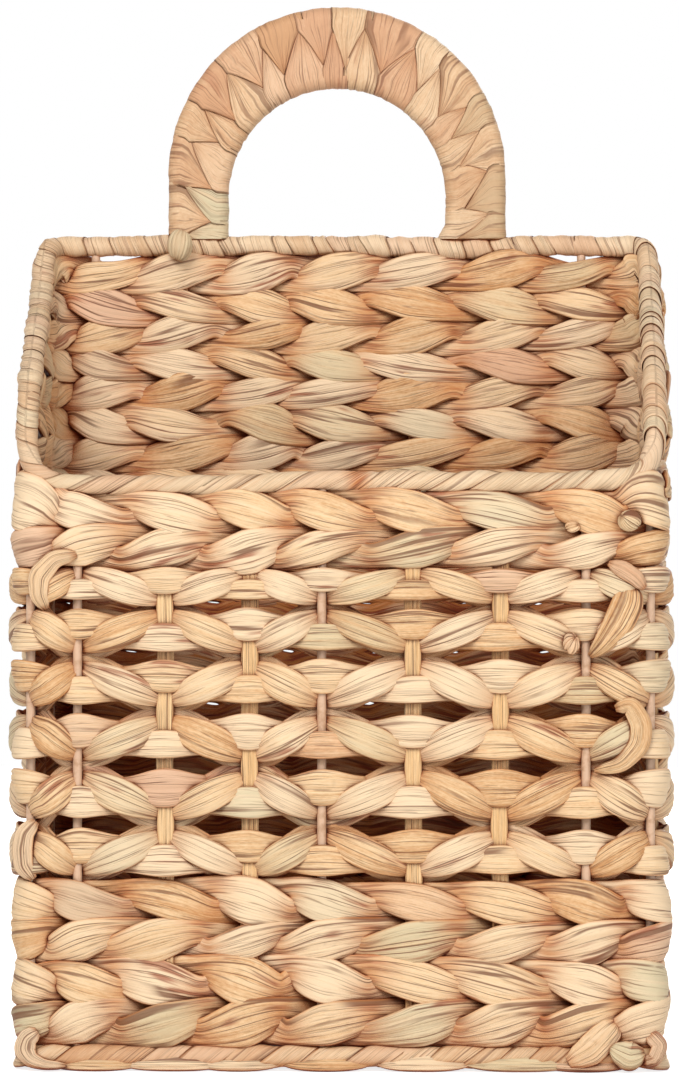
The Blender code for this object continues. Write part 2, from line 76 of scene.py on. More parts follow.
def dice(*seed):
    return np.random.default_rng(list(seed))


def smooth(value):
    value = np.clip(value, 0.0, 1.0)
    return value * value * (3 - 2 * value)


def unit(vectors):
    return vectors / np.maximum(np.linalg.norm(vectors, axis=-1, keepdims=True), 1e-12)


def between(low, high, share):
    return low + (high - low) * share


def eased(values, reach, mode):
    # Each value becomes a soft mean of its neighbours within reach
    window = np.hanning(2 * reach + 1)
    return np.convolve(np.pad(values, reach, mode=mode), window / window.sum(), mode="valid")


def lengthsAlong(line):
    return np.concatenate([[0.0], np.cumsum(np.linalg.norm(np.diff(line, axis=0), axis=1))])


def middleOf(node):
    low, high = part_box(node)
    return np.array((low + high) / 2)


def evenSteps(along, spacing, loop):
    # How many steps of about this spacing fit, the steps before and after each place,
    # and how far between the two it lies
    length = max(float(along[-1]), spacing)
    count = max(int(round(length / spacing)), 2)
    at = along / length * count
    low = np.floor(at).astype(int)
    pair = [(low + one) % count if loop else np.clip(low + one, 0, count + 1) for one in (0, 1)]
    return count, pair, smooth(at - low)


def wander(seed, along, spacing, loop=False):
    # A smooth random line: a new value between -1 and 1 about every spacing metres
    count, (before, after), share = evenSteps(along, spacing, loop)
    knots = dice(*seed).uniform(-1, 1, count + 2)
    return knots[before] * (1 - share) + knots[after] * share


def streaks(seed, along, across, spacing, count, loop=False):
    # Smooth random values over a leaf, long along it and narrow across it
    rows, pair, share = evenSteps(along, spacing, loop)
    grid = dice(*seed).normal(0, 1, (rows + 2, count + 3))
    side = (across + 1) / 2 * count
    column = np.clip(np.floor(side).astype(int), 0, count + 1)
    part = smooth(side - column)
    near, far = (grid[row][:, column] * (1 - part) + grid[row][:, column + 1] * part for row in pair)
    return near * (1 - share[:, None]) + far * share[:, None]


def layers(shape, *values):
    # Values stretched over the same points and laid together, one vector for each point
    return np.stack([np.broadcast_to(value, shape) for value in values], -1)


def leafLooks(shape, fibre, tint, marks):
    # What the leaf materials read at each point: fibre is its place across and along the
    # leaf and the leaf's own number, tint its light, green and pink, and marks how much
    # it is pinched or, on inner faces, in painted shade, how much it is creased, with shade
    # painted into the groove, and how much it is at an edge, partly painted shade
    return {"fibre": layers(shape, *fibre), "tint": layers(shape, *tint), "marks": layers(shape, *marks)}


def sweep(rings, looks, closed):
    # A skin over rings of points, capped at both ends when it is open
    rows, columns = rings.shape[:2]
    row, column = np.meshgrid(np.arange(rows if closed else rows - 1), np.arange(columns), indexing="ij")
    nextRow, nextColumn = (row + 1) % rows, (column + 1) % columns
    faces = [np.stack([row * columns + column, nextRow * columns + column,
                       nextRow * columns + nextColumn, row * columns + nextColumn], -1).reshape(-1, 4)]
    if not closed:
        faces += [np.arange(columns)[None], (rows - 1) * columns + np.arange(columns)[::-1][None]]
    return {"places": rings, "faces": faces, "looks": looks}


def addObject(name, data, place=(0.0, 0.0, 0.0)):
    made = bpy.data.objects.new(name, data)
    made.location = place
    bpy.context.scene.collection.objects.link(made)
    return made


def makePiece(name, parts, finish, nodes=()):
    # One object from several swept skins, with their looks kept as mesh attributes
    places, corners, starts, values = [], [], [], {}
    first = loops = 0
    for part in parts:
        places.append(part["places"].reshape(-1, 3))
        for faces in part["faces"]:
            corners.append((faces + first).ravel())
            starts.append(loops + np.arange(len(faces)) * faces.shape[1])
            loops += faces.size
        for key, value in part["looks"].items():
            values.setdefault(key, []).append(value.reshape(-1, 3))
        first += len(places[-1])
    places, corners, starts = (np.concatenate(lists) for lists in (places, corners, starts))
    mesh = bpy.data.meshes.new(name)
    mesh.vertices.add(len(places))
    mesh.vertices.foreach_set("co", places.astype(np.float32).ravel())
    mesh.loops.add(len(corners))
    mesh.loops.foreach_set("vertex_index", corners.astype(np.int32))
    mesh.polygons.add(len(starts))
    mesh.polygons.foreach_set("loop_start", starts.astype(np.int32))
    mesh.update(calc_edges=True)
    for key, value in values.items():
        layer = mesh.attributes.new(key, "FLOAT_VECTOR", "POINT")
        layer.data.foreach_set("vector", np.concatenate(value).astype(np.float32).ravel())
    mesh.validate()
    mesh.shade_smooth()
    mesh.materials.append(finishes[finish])
    piece = addObject(name, mesh)
    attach(piece, "root")
    if nodes:
        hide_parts(*nodes)


# Helpers for node trees

def fillInputs(tree, node, inputs):
    # Gives each input a plain value, or links another node's output to it
    for place, value in inputs.items():
        if isinstance(value, bpy.types.NodeSocket):
            tree.links.new(value, node.inputs[place])
        else:
            node.inputs[place].default_value = value


def addNode(tree, kind, inputs, **settings):
    made = tree.nodes.new("ShaderNode" + kind)
    for key, value in settings.items():
        setattr(made, key, value)
    fillInputs(tree, made, inputs)
    return made


def calculate(tree, operation, first, second=0.0):
    return addNode(tree, "Math", {0: first, 1: second}, operation=operation).outputs[0]


def addUp(tree, total, *terms):
    # Adds each value times its share to the total
    for value, share in terms:
        total = calculate(tree, "ADD", total, calculate(tree, "MULTIPLY", value, share))
    return total


def blendColour(tree, share, first, second, blend="MIX"):
    inputs = {0: share, 6: first, 7: second}
    return addNode(tree, "Mix", inputs, data_type="RGBA", blend_type=blend).outputs[2]


def spread(tree, value, low, high, newLow=0.0, newHigh=1.0):
    # Eases from newLow to newHigh while the value goes from low to high
    inputs = {"Value": value, "From Min": low, "From Max": high, "To Min": newLow, "To Max": newHigh}
    return addNode(tree, "MapRange", inputs, interpolation_type="SMOOTHSTEP").outputs["Result"]


def seenDirectly(tree):
    # 1 for the camera and for what gloss and glass show, otherwise 0
    path = addNode(tree, "LightPath", {}).outputs
    seen = calculate(tree, "MAXIMUM", path["Is Camera Ray"], path["Is Glossy Ray"])
    return calculate(tree, "MAXIMUM", seen, path["Is Transmission Ray"])


def newMaterial(name):
    material = bpy.data.materials.new(name)
    material.use_nodes = True
    return material, material.node_tree, material.node_tree.nodes["Principled BSDF"]


# Camera, light and floor, at the place that the photograph was taken from

cameraLook = {"place": (0.057, -2.335, 0.215), "target": (-0.0002, -0.055, 0.2158), "lens": 188.2,
              "sensor": 36.0}
lightLook = {"ambient": 0.31, "ambientColour": screenColour(255, 253, 250), "target": (0.0, 0.0, 0.2),
             # Power, size and place of each lamp
             "lamps": {"key_light": (29.0, 0.9, (-0.58, -1.80, 1.45)),
                       "fill_light": (16.0, 1.4, (0.9, -1.9, 0.45)),
                       "back_light": (34.0, 1.4, (0.6, 2.3, 1.3))}}
floorLook = {"half": 3.0, "colour": screenColour(236, 234, 231), "roughness": 0.9, "gloss": 0.1,
             "lift": 0.80}


def aim(thing, target):
    thing.rotation_euler = (Vector(target) - thing.location).to_track_quat("-Z", "Y").to_euler()


def addCamera():
    data = bpy.data.cameras.new("camera")
    data.lens = cameraLook["lens"]
    data.sensor_width = cameraLook["sensor"]
    data.clip_end = 50
    camera = addObject("camera", data, cameraLook["place"])
    aim(camera, cameraLook["target"])
    bpy.context.scene.camera = camera


def addLamp(name, power, size, place):
    data = bpy.data.lights.new(name, "AREA")
    data.energy = power
    data.size = size
    aim(addObject(name, data, place), lightLook["target"])


def addWorld():
    world = bpy.data.worlds.new("studio")
    world.use_nodes = True
    tree = world.node_tree
    tree.nodes.clear()
    pair = ((lightLook["ambientColour"], lightLook["ambient"]), (white, 1.0))
    around, seen = (addNode(tree, "Background", {"Color": colour, "Strength": strength}).outputs[0]
                    for colour, strength in pair)
    mix = addNode(tree, "MixShader", {0: seenDirectly(tree), 1: around, 2: seen})
    addNode(tree, "OutputWorld", {"Surface": mix.outputs[0]})
    bpy.context.scene.world = world


def addFloor():
    # A pale floor that looks white and still takes the basket's shadow
    look, half = floorLook, floorLook["half"]
    mesh = bpy.data.meshes.new("floor")
    corners = [(-half, -half, 0), (half, -half, 0), (half, half, 0), (-half, half, 0)]
    mesh.from_pydata(corners, [], [(0, 1, 2, 3)])
    material, tree, shader = newMaterial("pale_floor")
    glow = calculate(tree, "MULTIPLY", seenDirectly(tree), look["lift"])
    fillInputs(tree, shader, {"Base Color": look["colour"], "Roughness": look["roughness"],
                              "Specular IOR Level": look["gloss"], "Emission Color": white,
                              "Emission Strength": glow})
    mesh.materials.append(material)
    floor = addObject("floor", mesh)
    floor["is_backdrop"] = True


addCamera()
for name, lamp in lightLook["lamps"].items():
    addLamp(name, *lamp)
addWorld()
addFloor()
bpy.context.scene.view_settings.view_transform = "Standard"
print("camera, light and floor made")


# Materials of leaf, cord and paint

leafPatterns = {  # Across, along, detail, roughness and shift of each noise
    "fine": (12.0, 22.0, 4.0, 0.7, 3.1), "broad": (3.4, 20.0, 3.0, 0.55, 11.7),
    "bend": (1.9, 24.0, 2.0, 0.5, 23.9), "gaps": (5.0, 55.0, 1.0, 0.5, 53.3),
    "specks": (10.0, 420.0, 2.0, 0.6, 61.9), "creases": (2.2, 6.0, 1.0, 0.4, 31.3),
    "patches": (0.8, 26.0, 2.0, 0.5, 47.7)}
leafRanges = {  # Where each effect sets in and is full, and how strong it is there
    "gold": (-0.15, 0.45), "pale": (0.25, 0.95), "green": (0.25, 0.6, 0.45, 0.95),
    "stain": (0.3, 0.7, 0.25, 0.75), "rustPatches": (0.60, 0.70), "rustGaps": (0.38, 0.60),
    "rustTips": (0.45, 0.65, 0.0, 0.5), "creases": (0.42, 0.56, 0.1, 1.0), "threads": (0.55, 1.0),
    "threadGaps": (0.44, 0.62, 0.05, 1.0)}
leafRelief = {"fine": 0.45, "lines": -0.6, "threads": -0.12, "specks": 0.35}
# Painted shade in the wider folds between leaves, used by the leaf and winding materials
widePaintedShade = (14.0 * mm, 0.62, 0.15, (0.74, 0.46, 0.26, 1.0))
leafLook = {"patterns": leafPatterns,
            "deep": screenColour(210, 154, 100), "gold": screenColour(240, 204, 158),
            "pale": screenColour(244, 216, 179), "green": screenColour(208, 198, 162),
            "pink": screenColour(218, 168, 138), "stain": screenColour(206, 130, 68),
            "rust": screenColour(158, 74, 40), "line": screenColour(106, 54, 24),
            "threads": 6.5, "threadBend": 4.5, "threadShare": 0.5, "creaseShare": 0.8, "creaseWidth": 0.04,
            "broadShare": 0.75, "patchShare": 0.5, "fineShare": 0.9, "speckShare": 0.55, "middle": 0.70,
            "pinkShare": 0.7, "rustShare": 0.75, "grooveShadeShare": 0.12, "edgeShare": 0.5, "roughness": 0.6,
            "gloss": 0.35, "bumpStrength": 0.8, "bumpHeight": 0.4 * mm,
            # Reach, open and shut share and colour of the painted shade between leaves and, at 150 mm,
            # inside the basket
            "folds": ((3.0 * mm, 0.86, 0.20, (0.42, 0.17, 0.06, 1.0)), widePaintedShade,
                      (150 * mm, 0.37, 0.08, (0.46, 0.19, 0.07, 1.0)))}
windingLook = dict(
    leafLook, deep=screenColour(206, 157, 115), gold=screenColour(225, 188, 148),
    pale=screenColour(242, 215, 180),
    patterns=dict(leafPatterns, fine=(13.0, 24.0, 4.0, 0.7, 3.1), broad=(2.4, 14.0, 3.0, 0.55, 11.7),
                  creases=(2.4, 7.0, 1.0, 0.4, 31.3)),
    threads=7.5, broadShare=0.5, bumpHeight=0.25 * mm, creaseShare=0.6, threadShare=0.4, rustShare=0.3,
    # Painted shade in the seams and folds between the turns of a winding
    folds=((1.2 * mm, 0.9, 0.3, (0.36, 0.17, 0.07, 1.0)), widePaintedShade))
cordLook = dict(
    leafLook, deep=screenColour(204, 146, 84), gold=screenColour(236, 190, 132),
    pale=screenColour(252, 216, 166),
    patterns=dict(leafPatterns, broad=(1.2, 20.0, 3.0, 0.55, 11.7), creases=(2.0, 6.0, 1.0, 0.4, 31.3)),
    threads=4.0, bumpHeight=0.3 * mm, rustShare=0.0)
paintLook = {"colour": screenColour(214, 178, 148), "worn": screenColour(190, 150, 118), "roughness": 0.5,
             "scale": 260.0, "detail": 5.0, "bumpStrength": 0.3, "bumpHeight": 0.1 * mm}


def stretchedNoise(tree, fibre, across, along, detail, roughness, shift):
    # Noise in a leaf's own directions: across it, along it and from leaf to leaf
    scaled = addNode(tree, "VectorMath", {0: fibre, 1: (across, along, 37.0), 2: (shift, shift, shift)},
                     operation="MULTIPLY_ADD")
    inputs = {"Vector": scaled.outputs[0], "Scale": 1.0, "Detail": detail, "Roughness": roughness}
    return addNode(tree, "TexNoise", inputs).outputs["Fac"]


def leafMaterial(name, look):
    material, tree, shader = newMaterial(name)

    def times(first, second):
        return calculate(tree, "MULTIPLY", first, second)

    def ranged(value, key):
        return spread(tree, value, *leafRanges[key])

    fibre, tint, marks = (addNode(tree, "Attribute", {}, attribute_name=key).outputs["Vector"]
                          for key in ("fibre", "tint", "marks"))
    (across, _, _), (light, green, pink), (pinch, groove, edge) = (
        addNode(tree, "SeparateXYZ", {0: vector}).outputs for vector in (fibre, tint, marks))
    fine, broad, bend, gaps, specks, creases, patches = (
        stretchedNoise(tree, fibre, *numbers) for numbers in look["patterns"].values())
    # Light and dark along the fibres
    light = addUp(tree, light, (broad, look["broadShare"]), (patches, look["patchShare"]),
                  (fine, look["fineShare"]), (specks, look["speckShare"]))
    middle = 0.5 * (look["broadShare"] + look["speckShare"]) + look["middle"]
    light = calculate(tree, "SUBTRACT", light, middle)
    # Rust in a few patches and at the tips. On the inner faces the pinch mark also carries painted shade,
    # so there this tint is partly painted shade
    rust = times(times(ranged(patches, "rustPatches"), ranged(gaps, "rustGaps")), look["rustShare"])
    rust = calculate(tree, "MAXIMUM", times(pinch, ranged(gaps, "rustTips")), rust)
    # Creases where a noise passes its middle, and fine threads side by side, which come and go
    away = calculate(tree, "ABSOLUTE", calculate(tree, "SUBTRACT", creases, 0.5))
    crease = spread(tree, away, look["creaseWidth"] / 4, look["creaseWidth"], 1.0, 0.0)
    threads = times(addUp(tree, times(across, look["threads"]), (bend, look["threadBend"])), fullTurn)
    threads = calculate(tree, "SINE", threads)
    crease = times(times(crease, ranged(patches, "creases")), look["creaseShare"])
    thread = times(times(ranged(threads, "threads"), ranged(gaps, "threadGaps")), look["threadShare"])
    lines = calculate(tree, "MAXIMUM", crease, thread)
    colour = look["deep"]
    for share, key in ((ranged(light, "gold"), "gold"), (ranged(light, "pale"), "pale"),
                       (times(green, ranged(broad, "green")), "green"),
                       (times(pink, look["pinkShare"]), "pink"),
                       # The pinch share turns the leaf towards the stain colour; on inner faces it also
                       # holds painted shade
                       (times(pinch, ranged(broad, "stain")), "stain"), (rust, "rust"), (lines, "line"),
                       # Painted shade in the grooves of creases
                       (times(groove, look["grooveShadeShare"]), "line"),
                       # Darker leaf edges: partly their own dried colour, partly painted shade where leaves
                       # lap
                       (times(edge, look["edgeShare"]), "stain")):
        colour = blendColour(tree, share, colour, look[key])
    # Painted shade: the colour turns darker and more orange in the folds between leaves, and inside the
    # basket, where less light reaches
    for reach, openShare, shutShare, shade in look["folds"]:
        nearby = addNode(tree, "AmbientOcclusion", {"Distance": reach}, samples=6).outputs["AO"]
        colour = blendColour(tree, spread(tree, nearby, openShare, shutShare), colour, shade, "MULTIPLY")
    height = addUp(tree, times(fine, leafRelief["fine"]), (lines, leafRelief["lines"]),
                   (threads, leafRelief["threads"]), (specks, leafRelief["specks"]))
    finishShader(tree, shader, look, colour, fine, look["roughness"] - 0.08, height)
    shader.inputs["Specular IOR Level"].default_value = look["gloss"]
    return material


def finishShader(tree, shader, look, colour, noise, smoothest, height):
    # Colour, a roughness that follows a noise, and bumps
    bump = addNode(tree, "Bump", {"Strength": look["bumpStrength"], "Distance": look["bumpHeight"],
                                  "Height": height})
    roughness = spread(tree, noise, 0.3, 0.7, smoothest, look["roughness"] + 0.12)
    fillInputs(tree, shader, {"Base Color": colour, "Roughness": roughness, "Normal": bump.outputs[0]})


def paintMaterial(name, look):
    material, tree, shader = newMaterial(name)
    place = addNode(tree, "TexCoord", {}).outputs["Object"]
    inputs = {"Scale": look["scale"], "Detail": look["detail"], "Vector": place}
    noise = addNode(tree, "TexNoise", inputs).outputs["Fac"]
    colour = blendColour(tree, spread(tree, noise, 0.45, 0.7), look["colour"], look["worn"])
    finishShader(tree, shader, look, colour, noise, look["roughness"] - 0.1, noise)
    return material


finishes = {"woven_leaf": leafMaterial("woven_leaf", leafLook),
            "wound_leaf": leafMaterial("wound_leaf", windingLook),
            "cord": leafMaterial("golden_cord", cordLook),
            "painted_wire": paintMaterial("tan_paint", paintLook)}
print("materials made")


# The walls as one closed line seen from above, counter-clockwise from the middle of
# the front left corner. Every strand is placed by its distance along this line.

wall = {"halfWidth": float(middleOf("side_cord_front_right")[0]), "halfDepth": 55.0 * mm,
        "corner": 8.0 * mm}
frontRun = 2 * (wall["halfWidth"] - wall["corner"])
sideRun = 2 * (wall["halfDepth"] - wall["corner"])
cornerRun = wall["corner"] * quarterTurn
girth = 2 * frontRun + 2 * sideRun + 4 * cornerRun


def wallAt(distance):
    # Places on the middle of the wall and the way out of it, at these distances
    distance = np.mod(distance - cornerRun / 2, girth)
    place, out = np.zeros((2, len(distance), 3))
    x, y, corner = wall["halfWidth"], wall["halfDepth"], wall["corner"]
    insideX, insideY = x - corner, y - corner
    # Heading and start of each side, and the middle of the corner after it
    sides = (((1, 0), (-insideX, -y), (insideX, -insideY)), ((0, 1), (x, -insideY), (insideX, insideY)),
             ((-1, 0), (insideX, y), (-insideX, insideY)), ((0, -1), (-x, insideY), (-insideX, -insideY)))
    start = 0.0
    for run, (heading, first, centre) in zip((frontRun, sideRun) * 2, sides):
        heading = np.array(heading, float)
        away = np.array([heading[1], -heading[0]])
        along = distance - start
        straight = (along >= 0) & (along <= run)
        place[straight, :2] = first + heading * along[straight][:, None]
        out[straight, :2] = away
        along = along - run
        bent = (along > 0) & (along < cornerRun)
        angle = along[bent][:, None] / corner
        turned = np.cos(angle) * away + np.sin(angle) * heading
        place[bent, :2] = centre + corner * turned
        out[bent, :2] = turned
        start += run + cornerRun
    return place, out


def makeStations():
    # Distance of every stake along the wall line, in the line's order
    nodes = ("wire_rib_1", "cord_stake_2", "cord_stake_3", "wire_rib_2", "cord_stake_5", "cord_stake_6",
             "wire_rib_3")
    rightSide = cornerRun / 2 + frontRun + cornerRun
    fronts = [cornerRun / 2 + float(middleOf(node)[0]) + frontRun / 2 for node in nodes]
    backs = sorted(frontRun + cornerRun - value for value in fronts)
    sides = [rightSide + float(middleOf(f"side_cord_{end}_right")[1]) + sideRun / 2
             for end in ("front", "back")]
    halves = [[0.0] + row + [rightSide - cornerRun / 2] + sides for row in (fronts, backs)]
    return np.array(halves[0] + [value + girth / 2 for value in halves[1]])


stations = makeStations()
print("stakes found:", len(stations), "round a girth of", round(girth, 4))


def phaseAt(distance):
    # Counts the stakes along the wall: a whole number at each, a half between two.
    # A mean over five places rounds its bends
    steps = np.concatenate([stations - girth, stations, stations + girth])
    numbers = np.arange(-len(stations), 2 * len(stations))
    shifts = (0.0, -3.0, 3.0, -6.0, 6.0)
    return sum(np.interp(distance + shift * mm, steps, numbers) for shift in shifts) / len(shifts)


def waveAround(seed, distance, spacing, count):
    # A smooth random line round the whole wall, the same for all that follow it
    steps = np.linspace(0, girth, count)
    return np.interp(np.mod(distance, girth), steps, wander(seed, steps, spacing, True))


# A leaf strand: a flat crowned ribbon with long folds, swept along a line

strandLook = {"step": 1.25 * mm, "pointsAcross": 25, "crowding": 0.65, "crownPower": 3.0,
              "crownRound": 0.55, "foldSpacing": 40 * mm, "foldCount": 17, "foldHeight": 0.19 * mm,
              "creaseHeight": 0.28 * mm, "creaseCount": 7, "creaseSpacing": 55 * mm,
              "creaseWidth": 0.06, "edge": 0.9, "innerPaintedShade": 0.08, "lowPaintedShade": 16.0,
              "deepTop": 232 * mm, "deepRun": 45 * mm, "seamStake": 14}


def hiddenSeams(distance, which):
    # Where the fibres of a closed strand start and end: on the back wall, each face
    # at a stake that covers it
    stakes = [stations[strandLook["seamStake"] + (which + face + 1) % 2] for face in (0, 1)]
    return [int(np.argmin(np.abs(distance - stake))) for stake in stakes]


def leafStrand(seed, line, out, half, thick, tint, pinch, closed, roll=0.0, seams=(0, 0)):
    # line is the middle of the ribbon, out the way it faces, half its half width, tint
    # the tones of its two faces, and roll how far it turns about the line
    look, points = strandLook, strandLook["pointsAcross"]
    along = lengthsAlong(line)
    total = along[-1] + np.linalg.norm(line[0] - line[-1])
    tangent = unit(np.roll(line, -1, 0) - np.roll(line, 1, 0) if closed else np.gradient(line, axis=0))
    across = unit(np.cross(out, tangent))
    face = np.cross(tangent, across)
    roll, thick, half = (np.broadcast_to(value, len(line))[:, None] for value in (roll, thick, half))
    across, face = np.cos(roll) * across - np.sin(roll) * face, np.cos(roll) * face + np.sin(roll) * across
    side = -np.cos(np.linspace(0, math.pi, points))
    side = look["crowding"] * side + (1 - look["crowding"]) * np.linspace(-1, 1, points)
    crown = np.maximum(1 - np.abs(side) ** look["crownPower"], 0) ** look["crownRound"]
    # Painted shade on the inner faces of the strands, most of all low down in the basket where less light
    # reaches; it is added to the pinch mark
    deep = smooth((look["deepTop"] - line[:, 2]) / look["deepRun"])
    paintedInnerShade = look["innerPaintedShade"] * (1 + look["lowPaintedShade"] * deep)
    rings, faces = [], []
    for number, sign in enumerate((1, -1)):
        order, high = (side, crown) if sign > 0 else (side[::-1][1:-1], crown[::-1][1:-1])
        folds, crease = (streaks((*seed, key, sign + 1), along, order, look[kind + "Spacing"],
                                 look[kind + "Count"], closed)
                         for key, kind in ((1, "fold"), (2, "crease")))
        # groove sinks each crease into the surface, and through the marks shade is painted into it
        groove = np.clip(1 - np.abs(crease) / look["creaseWidth"], 0, 1)
        lift = (thick * high * 0.5 + look["foldHeight"] * folds * high
                - look["creaseHeight"] * groove * np.minimum(high * 1.5, 1))
        rings.append(line[:, None] + across[:, None] * (half * order)[..., None]
                     + face[:, None] * (sign * lift)[..., None])
        shown = np.mod(along - along[seams[number]], total) if closed else along
        # worn is the pinch mark, with the painted shade added on the inner face
        worn = np.clip(pinch, 0, 1) + number * paintedInnerShade
        # Leaf edges are tinted darker: partly the dried edge's own colour, partly painted shade where
        # leaves lap
        edge = smooth((np.abs(order) - look["edge"]) / (1 - look["edge"]))
        fibre = (order + 5.0 * number, shown[:, None], (sum(seed) * 0.137) % 7.0)
        faces.append(leafLooks(lift.shape, fibre, tint[number].T[..., None], (worn[:, None], groove, edge)))
    looks = {key: np.concatenate([one[key], other[key]], 1) for one, other in [faces] for key in one}
    return sweep(np.concatenate(rings, 1), looks, closed)


toneLook = {"light": (0.15, 1.10), "greenOdds": 0.15, "green": (0.3, 0.75), "pinkOdds": 0.07,
            "pink": (0.4, 1.0), "changeStart": 0.46, "changeRun": 0.08}


def leafTints(seed, phase, which=0):
    # Tones for the outer and the inner face. A face changes its tone where a stake
    # hides it, so every leaf that shows keeps one tone from tip to tip
    look, result = toneLook, []
    count = len(stations) // 2
    for face in (0, 1):
        own = (phase + which + face) / 2
        chance = dice(*seed, 91, face)
        table = [chance.permutation(np.linspace(*look["light"], count))]
        for key in ("green", "pink"):
            chosen = chance.random(count) < look[key + "Odds"]
            table.append(np.where(chosen, chance.uniform(*look[key], count), 0))
        table = np.stack(table, -1)
        low = np.floor(own).astype(int)
        share = smooth((own - low - look["changeStart"]) / look["changeRun"])[:, None]
        result.append(table[low % count] * (1 - share) + table[(low + 1) % count] * share)
    return result


# Twined rows: two strands that twist about each other once between the stakes

twineLook = {"reach": 3.9 * mm, "reachPower": 0.9, "reachChange": 0.5 * mm, "swing": 0.23,
             "halfWidth": 0.55, "halfCross": 0.385, "bluntness": 0.95, "widthPower": 1.5,
             "thick": 3.3 * mm, "thickCross": 4.0 * mm, "thickChange": 0.15, "tilt": 0.20,
             "shingle": 0.28, "phaseChange": 0.13, "jitter": 0.9 * mm, "widthChange": 0.13,
             "wave": 1.1 * mm, "waveLength": 45 * mm,
             # Seed, and each row's rise, growth and growth at the front corners, in mm
             "zones": {"lower": (10, ((-1.0, 2.0, 0.0), (0.0, 0.6, 0.0), (0.0, 0.6, 0.0), (0.3, 0.6, 0.0))),
                       "upper": (20, ((0.0, 1.0, 0.0), (0.9, 2.2, 9.0)))},
             "cornerStart": 16 * mm, "cornerRun": 12 * mm, "frontRun": 20 * mm, "frontStart": 1.6}


def zigzag(angle):
    # Like a sine, but straight between its rounded turns
    return np.arcsin(twineLook["bluntness"] * np.sin(angle)) / math.asin(twineLook["bluntness"])


def rowWave(boundary, distance):
    # How far the line between two rows strays up or down; both rows follow it
    return twineLook["wave"] * waveAround((200, boundary), distance, twineLook["waveLength"], 600)


def twinedStrand(seed, distance, phase, middle, height, lean, closed, ending=None):
    # The strand slants across its row from one stake to the next, wide in front of a
    # stake and behind one, narrow where it crosses the other strand. A lean of 1 runs
    # down to the right, seen from either side of the wall
    look, which = twineLook, seed[-1]
    along = distance - distance[0]

    def stray(number, spacing):
        # One of the strand's own random lines, which changes about every spacing in mm
        return wander((seed[0], which, number), along, spacing * mm, closed)

    phase = phase + look["phaseChange"] * stray(7, 55)
    angle = math.pi * (phase + which)
    turn, cross = np.cos(angle), zigzag(angle)
    reach = look["reach"] * np.sign(turn) * np.abs(turn) ** look["reachPower"]
    reach = reach + look["reachChange"] * stray(3, 20)
    narrow = np.abs(cross) ** look["widthPower"]
    half = height * between(look["halfWidth"], look["halfCross"], narrow)
    half = half * (1 + look["widthChange"] * stray(5, 34))
    thick = between(look["thick"], look["thickCross"], narrow) * (1 + look["thickChange"] * stray(6, 22))
    place, out = wallAt(distance)
    line = place + out * reach[:, None]
    line[:, 2] = middle - lean * look["swing"] * height * cross + look["jitter"] * stray(4, 28)
    if ending:
        line, half, thick = ending(line, out, half, thick, along)
    own = (*seed, which)
    roll = look["tilt"] * lean * turn - look["shingle"] * narrow
    return leafStrand(own, line, out, half, thick, leafTints(own, phase, which), narrow ** 2, closed, roll,
                      hiddenSeams(distance, which))


def closedWalk():
    count = int(round(girth / strandLook["step"]))
    distance = np.arange(count) / count * girth
    return distance, phaseAt(distance)


def twinedRow(zone, index, seed, rise, fuller, cornerRise):
    # rise lifts a row and fuller makes it taller, to close up to the row or rod beside
    # it; cornerRise does both at the front corners, where the rim climbs away from it
    look, number = twineLook, seed + index
    node = f"{zone}_course_{index + 1}"
    low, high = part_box(node)
    middle, height = (low.z + high.z) / 2 + rise, high.z - low.z + fuller
    distance, phase = closedWalk()
    below, above = rowWave(number, distance) * (number > 10), rowWave(number + 1, distance)
    middle, height = middle + (below + above) / 2, height + above - below
    place, _ = wallAt(distance)
    corner = smooth((np.abs(place[:, 0]) - wall["halfWidth"] + look["cornerStart"]) / look["cornerRun"])
    corner = corner * smooth(-place[:, 1] / look["frontRun"] - look["frontStart"])
    middle, height = middle + cornerRise / 2 * corner, height + cornerRise * corner
    lean = -1 if index % 2 == 0 else 1
    parts = [twinedStrand((number, which), distance, phase, middle, height, lean, True) for which in (0, 1)]
    makePiece(f"{zone}_row_{index + 1}", parts, "woven_leaf", [node])


for zone, (seed, fits) in twineLook["zones"].items():
    for index, fit in enumerate(fits):
        twinedRow(zone, index, seed, *(size * mm for size in fit))
print("twined rows made")


# Star rows: a zigzag strand over two others, pinched behind the stakes at the stars

starLook = {"centres": (0.0, 0.177, 0.367, 0.541, 0.712, 0.873, 1.0), "clear": 0.3 * mm,
            "zigzagBehind": -3.0 * mm, "zigzagFront": 6.0 * mm, "zigzagPinch": 1.9 * mm,
            "zigzagHalf": 6.5 * mm, "zigzagThick": 3.6 * mm, "fullGap": 21 * mm, "edge": 0.05,
            "climbPower": 0.8, "petalPower": 0.75, "centreShare": 0.165, "reach": 4.2 * mm,
            "reachPower": 1.1, "frontShare": (0.595, 0.645), "middleShare": 0.64, "rearShare": 0.88,
            "halfFront": (0.28, 0.33), "halfMiddle": 0.19, "halfRear": 0.26, "thick": 3.4 * mm,
            "tilt": 0.22, "backDrop": 0.05, "backSpread": 0.09, "backFuller": 0.40, "backPetal": 0.38,
            # How much the zigzag and the two others stray out, up and in width
            "zigzagStray": (0.3 * mm, 0.5 * mm, 0.1), "crossStray": (0.25 * mm, 0.4 * mm, 0.08)}
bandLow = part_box("lower_course_4")[1].z + starLook["clear"]
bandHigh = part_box("upper_course_1")[0].z
starLevels = [bandLow + share * (bandHigh - bandLow) for share in starLook["centres"]]


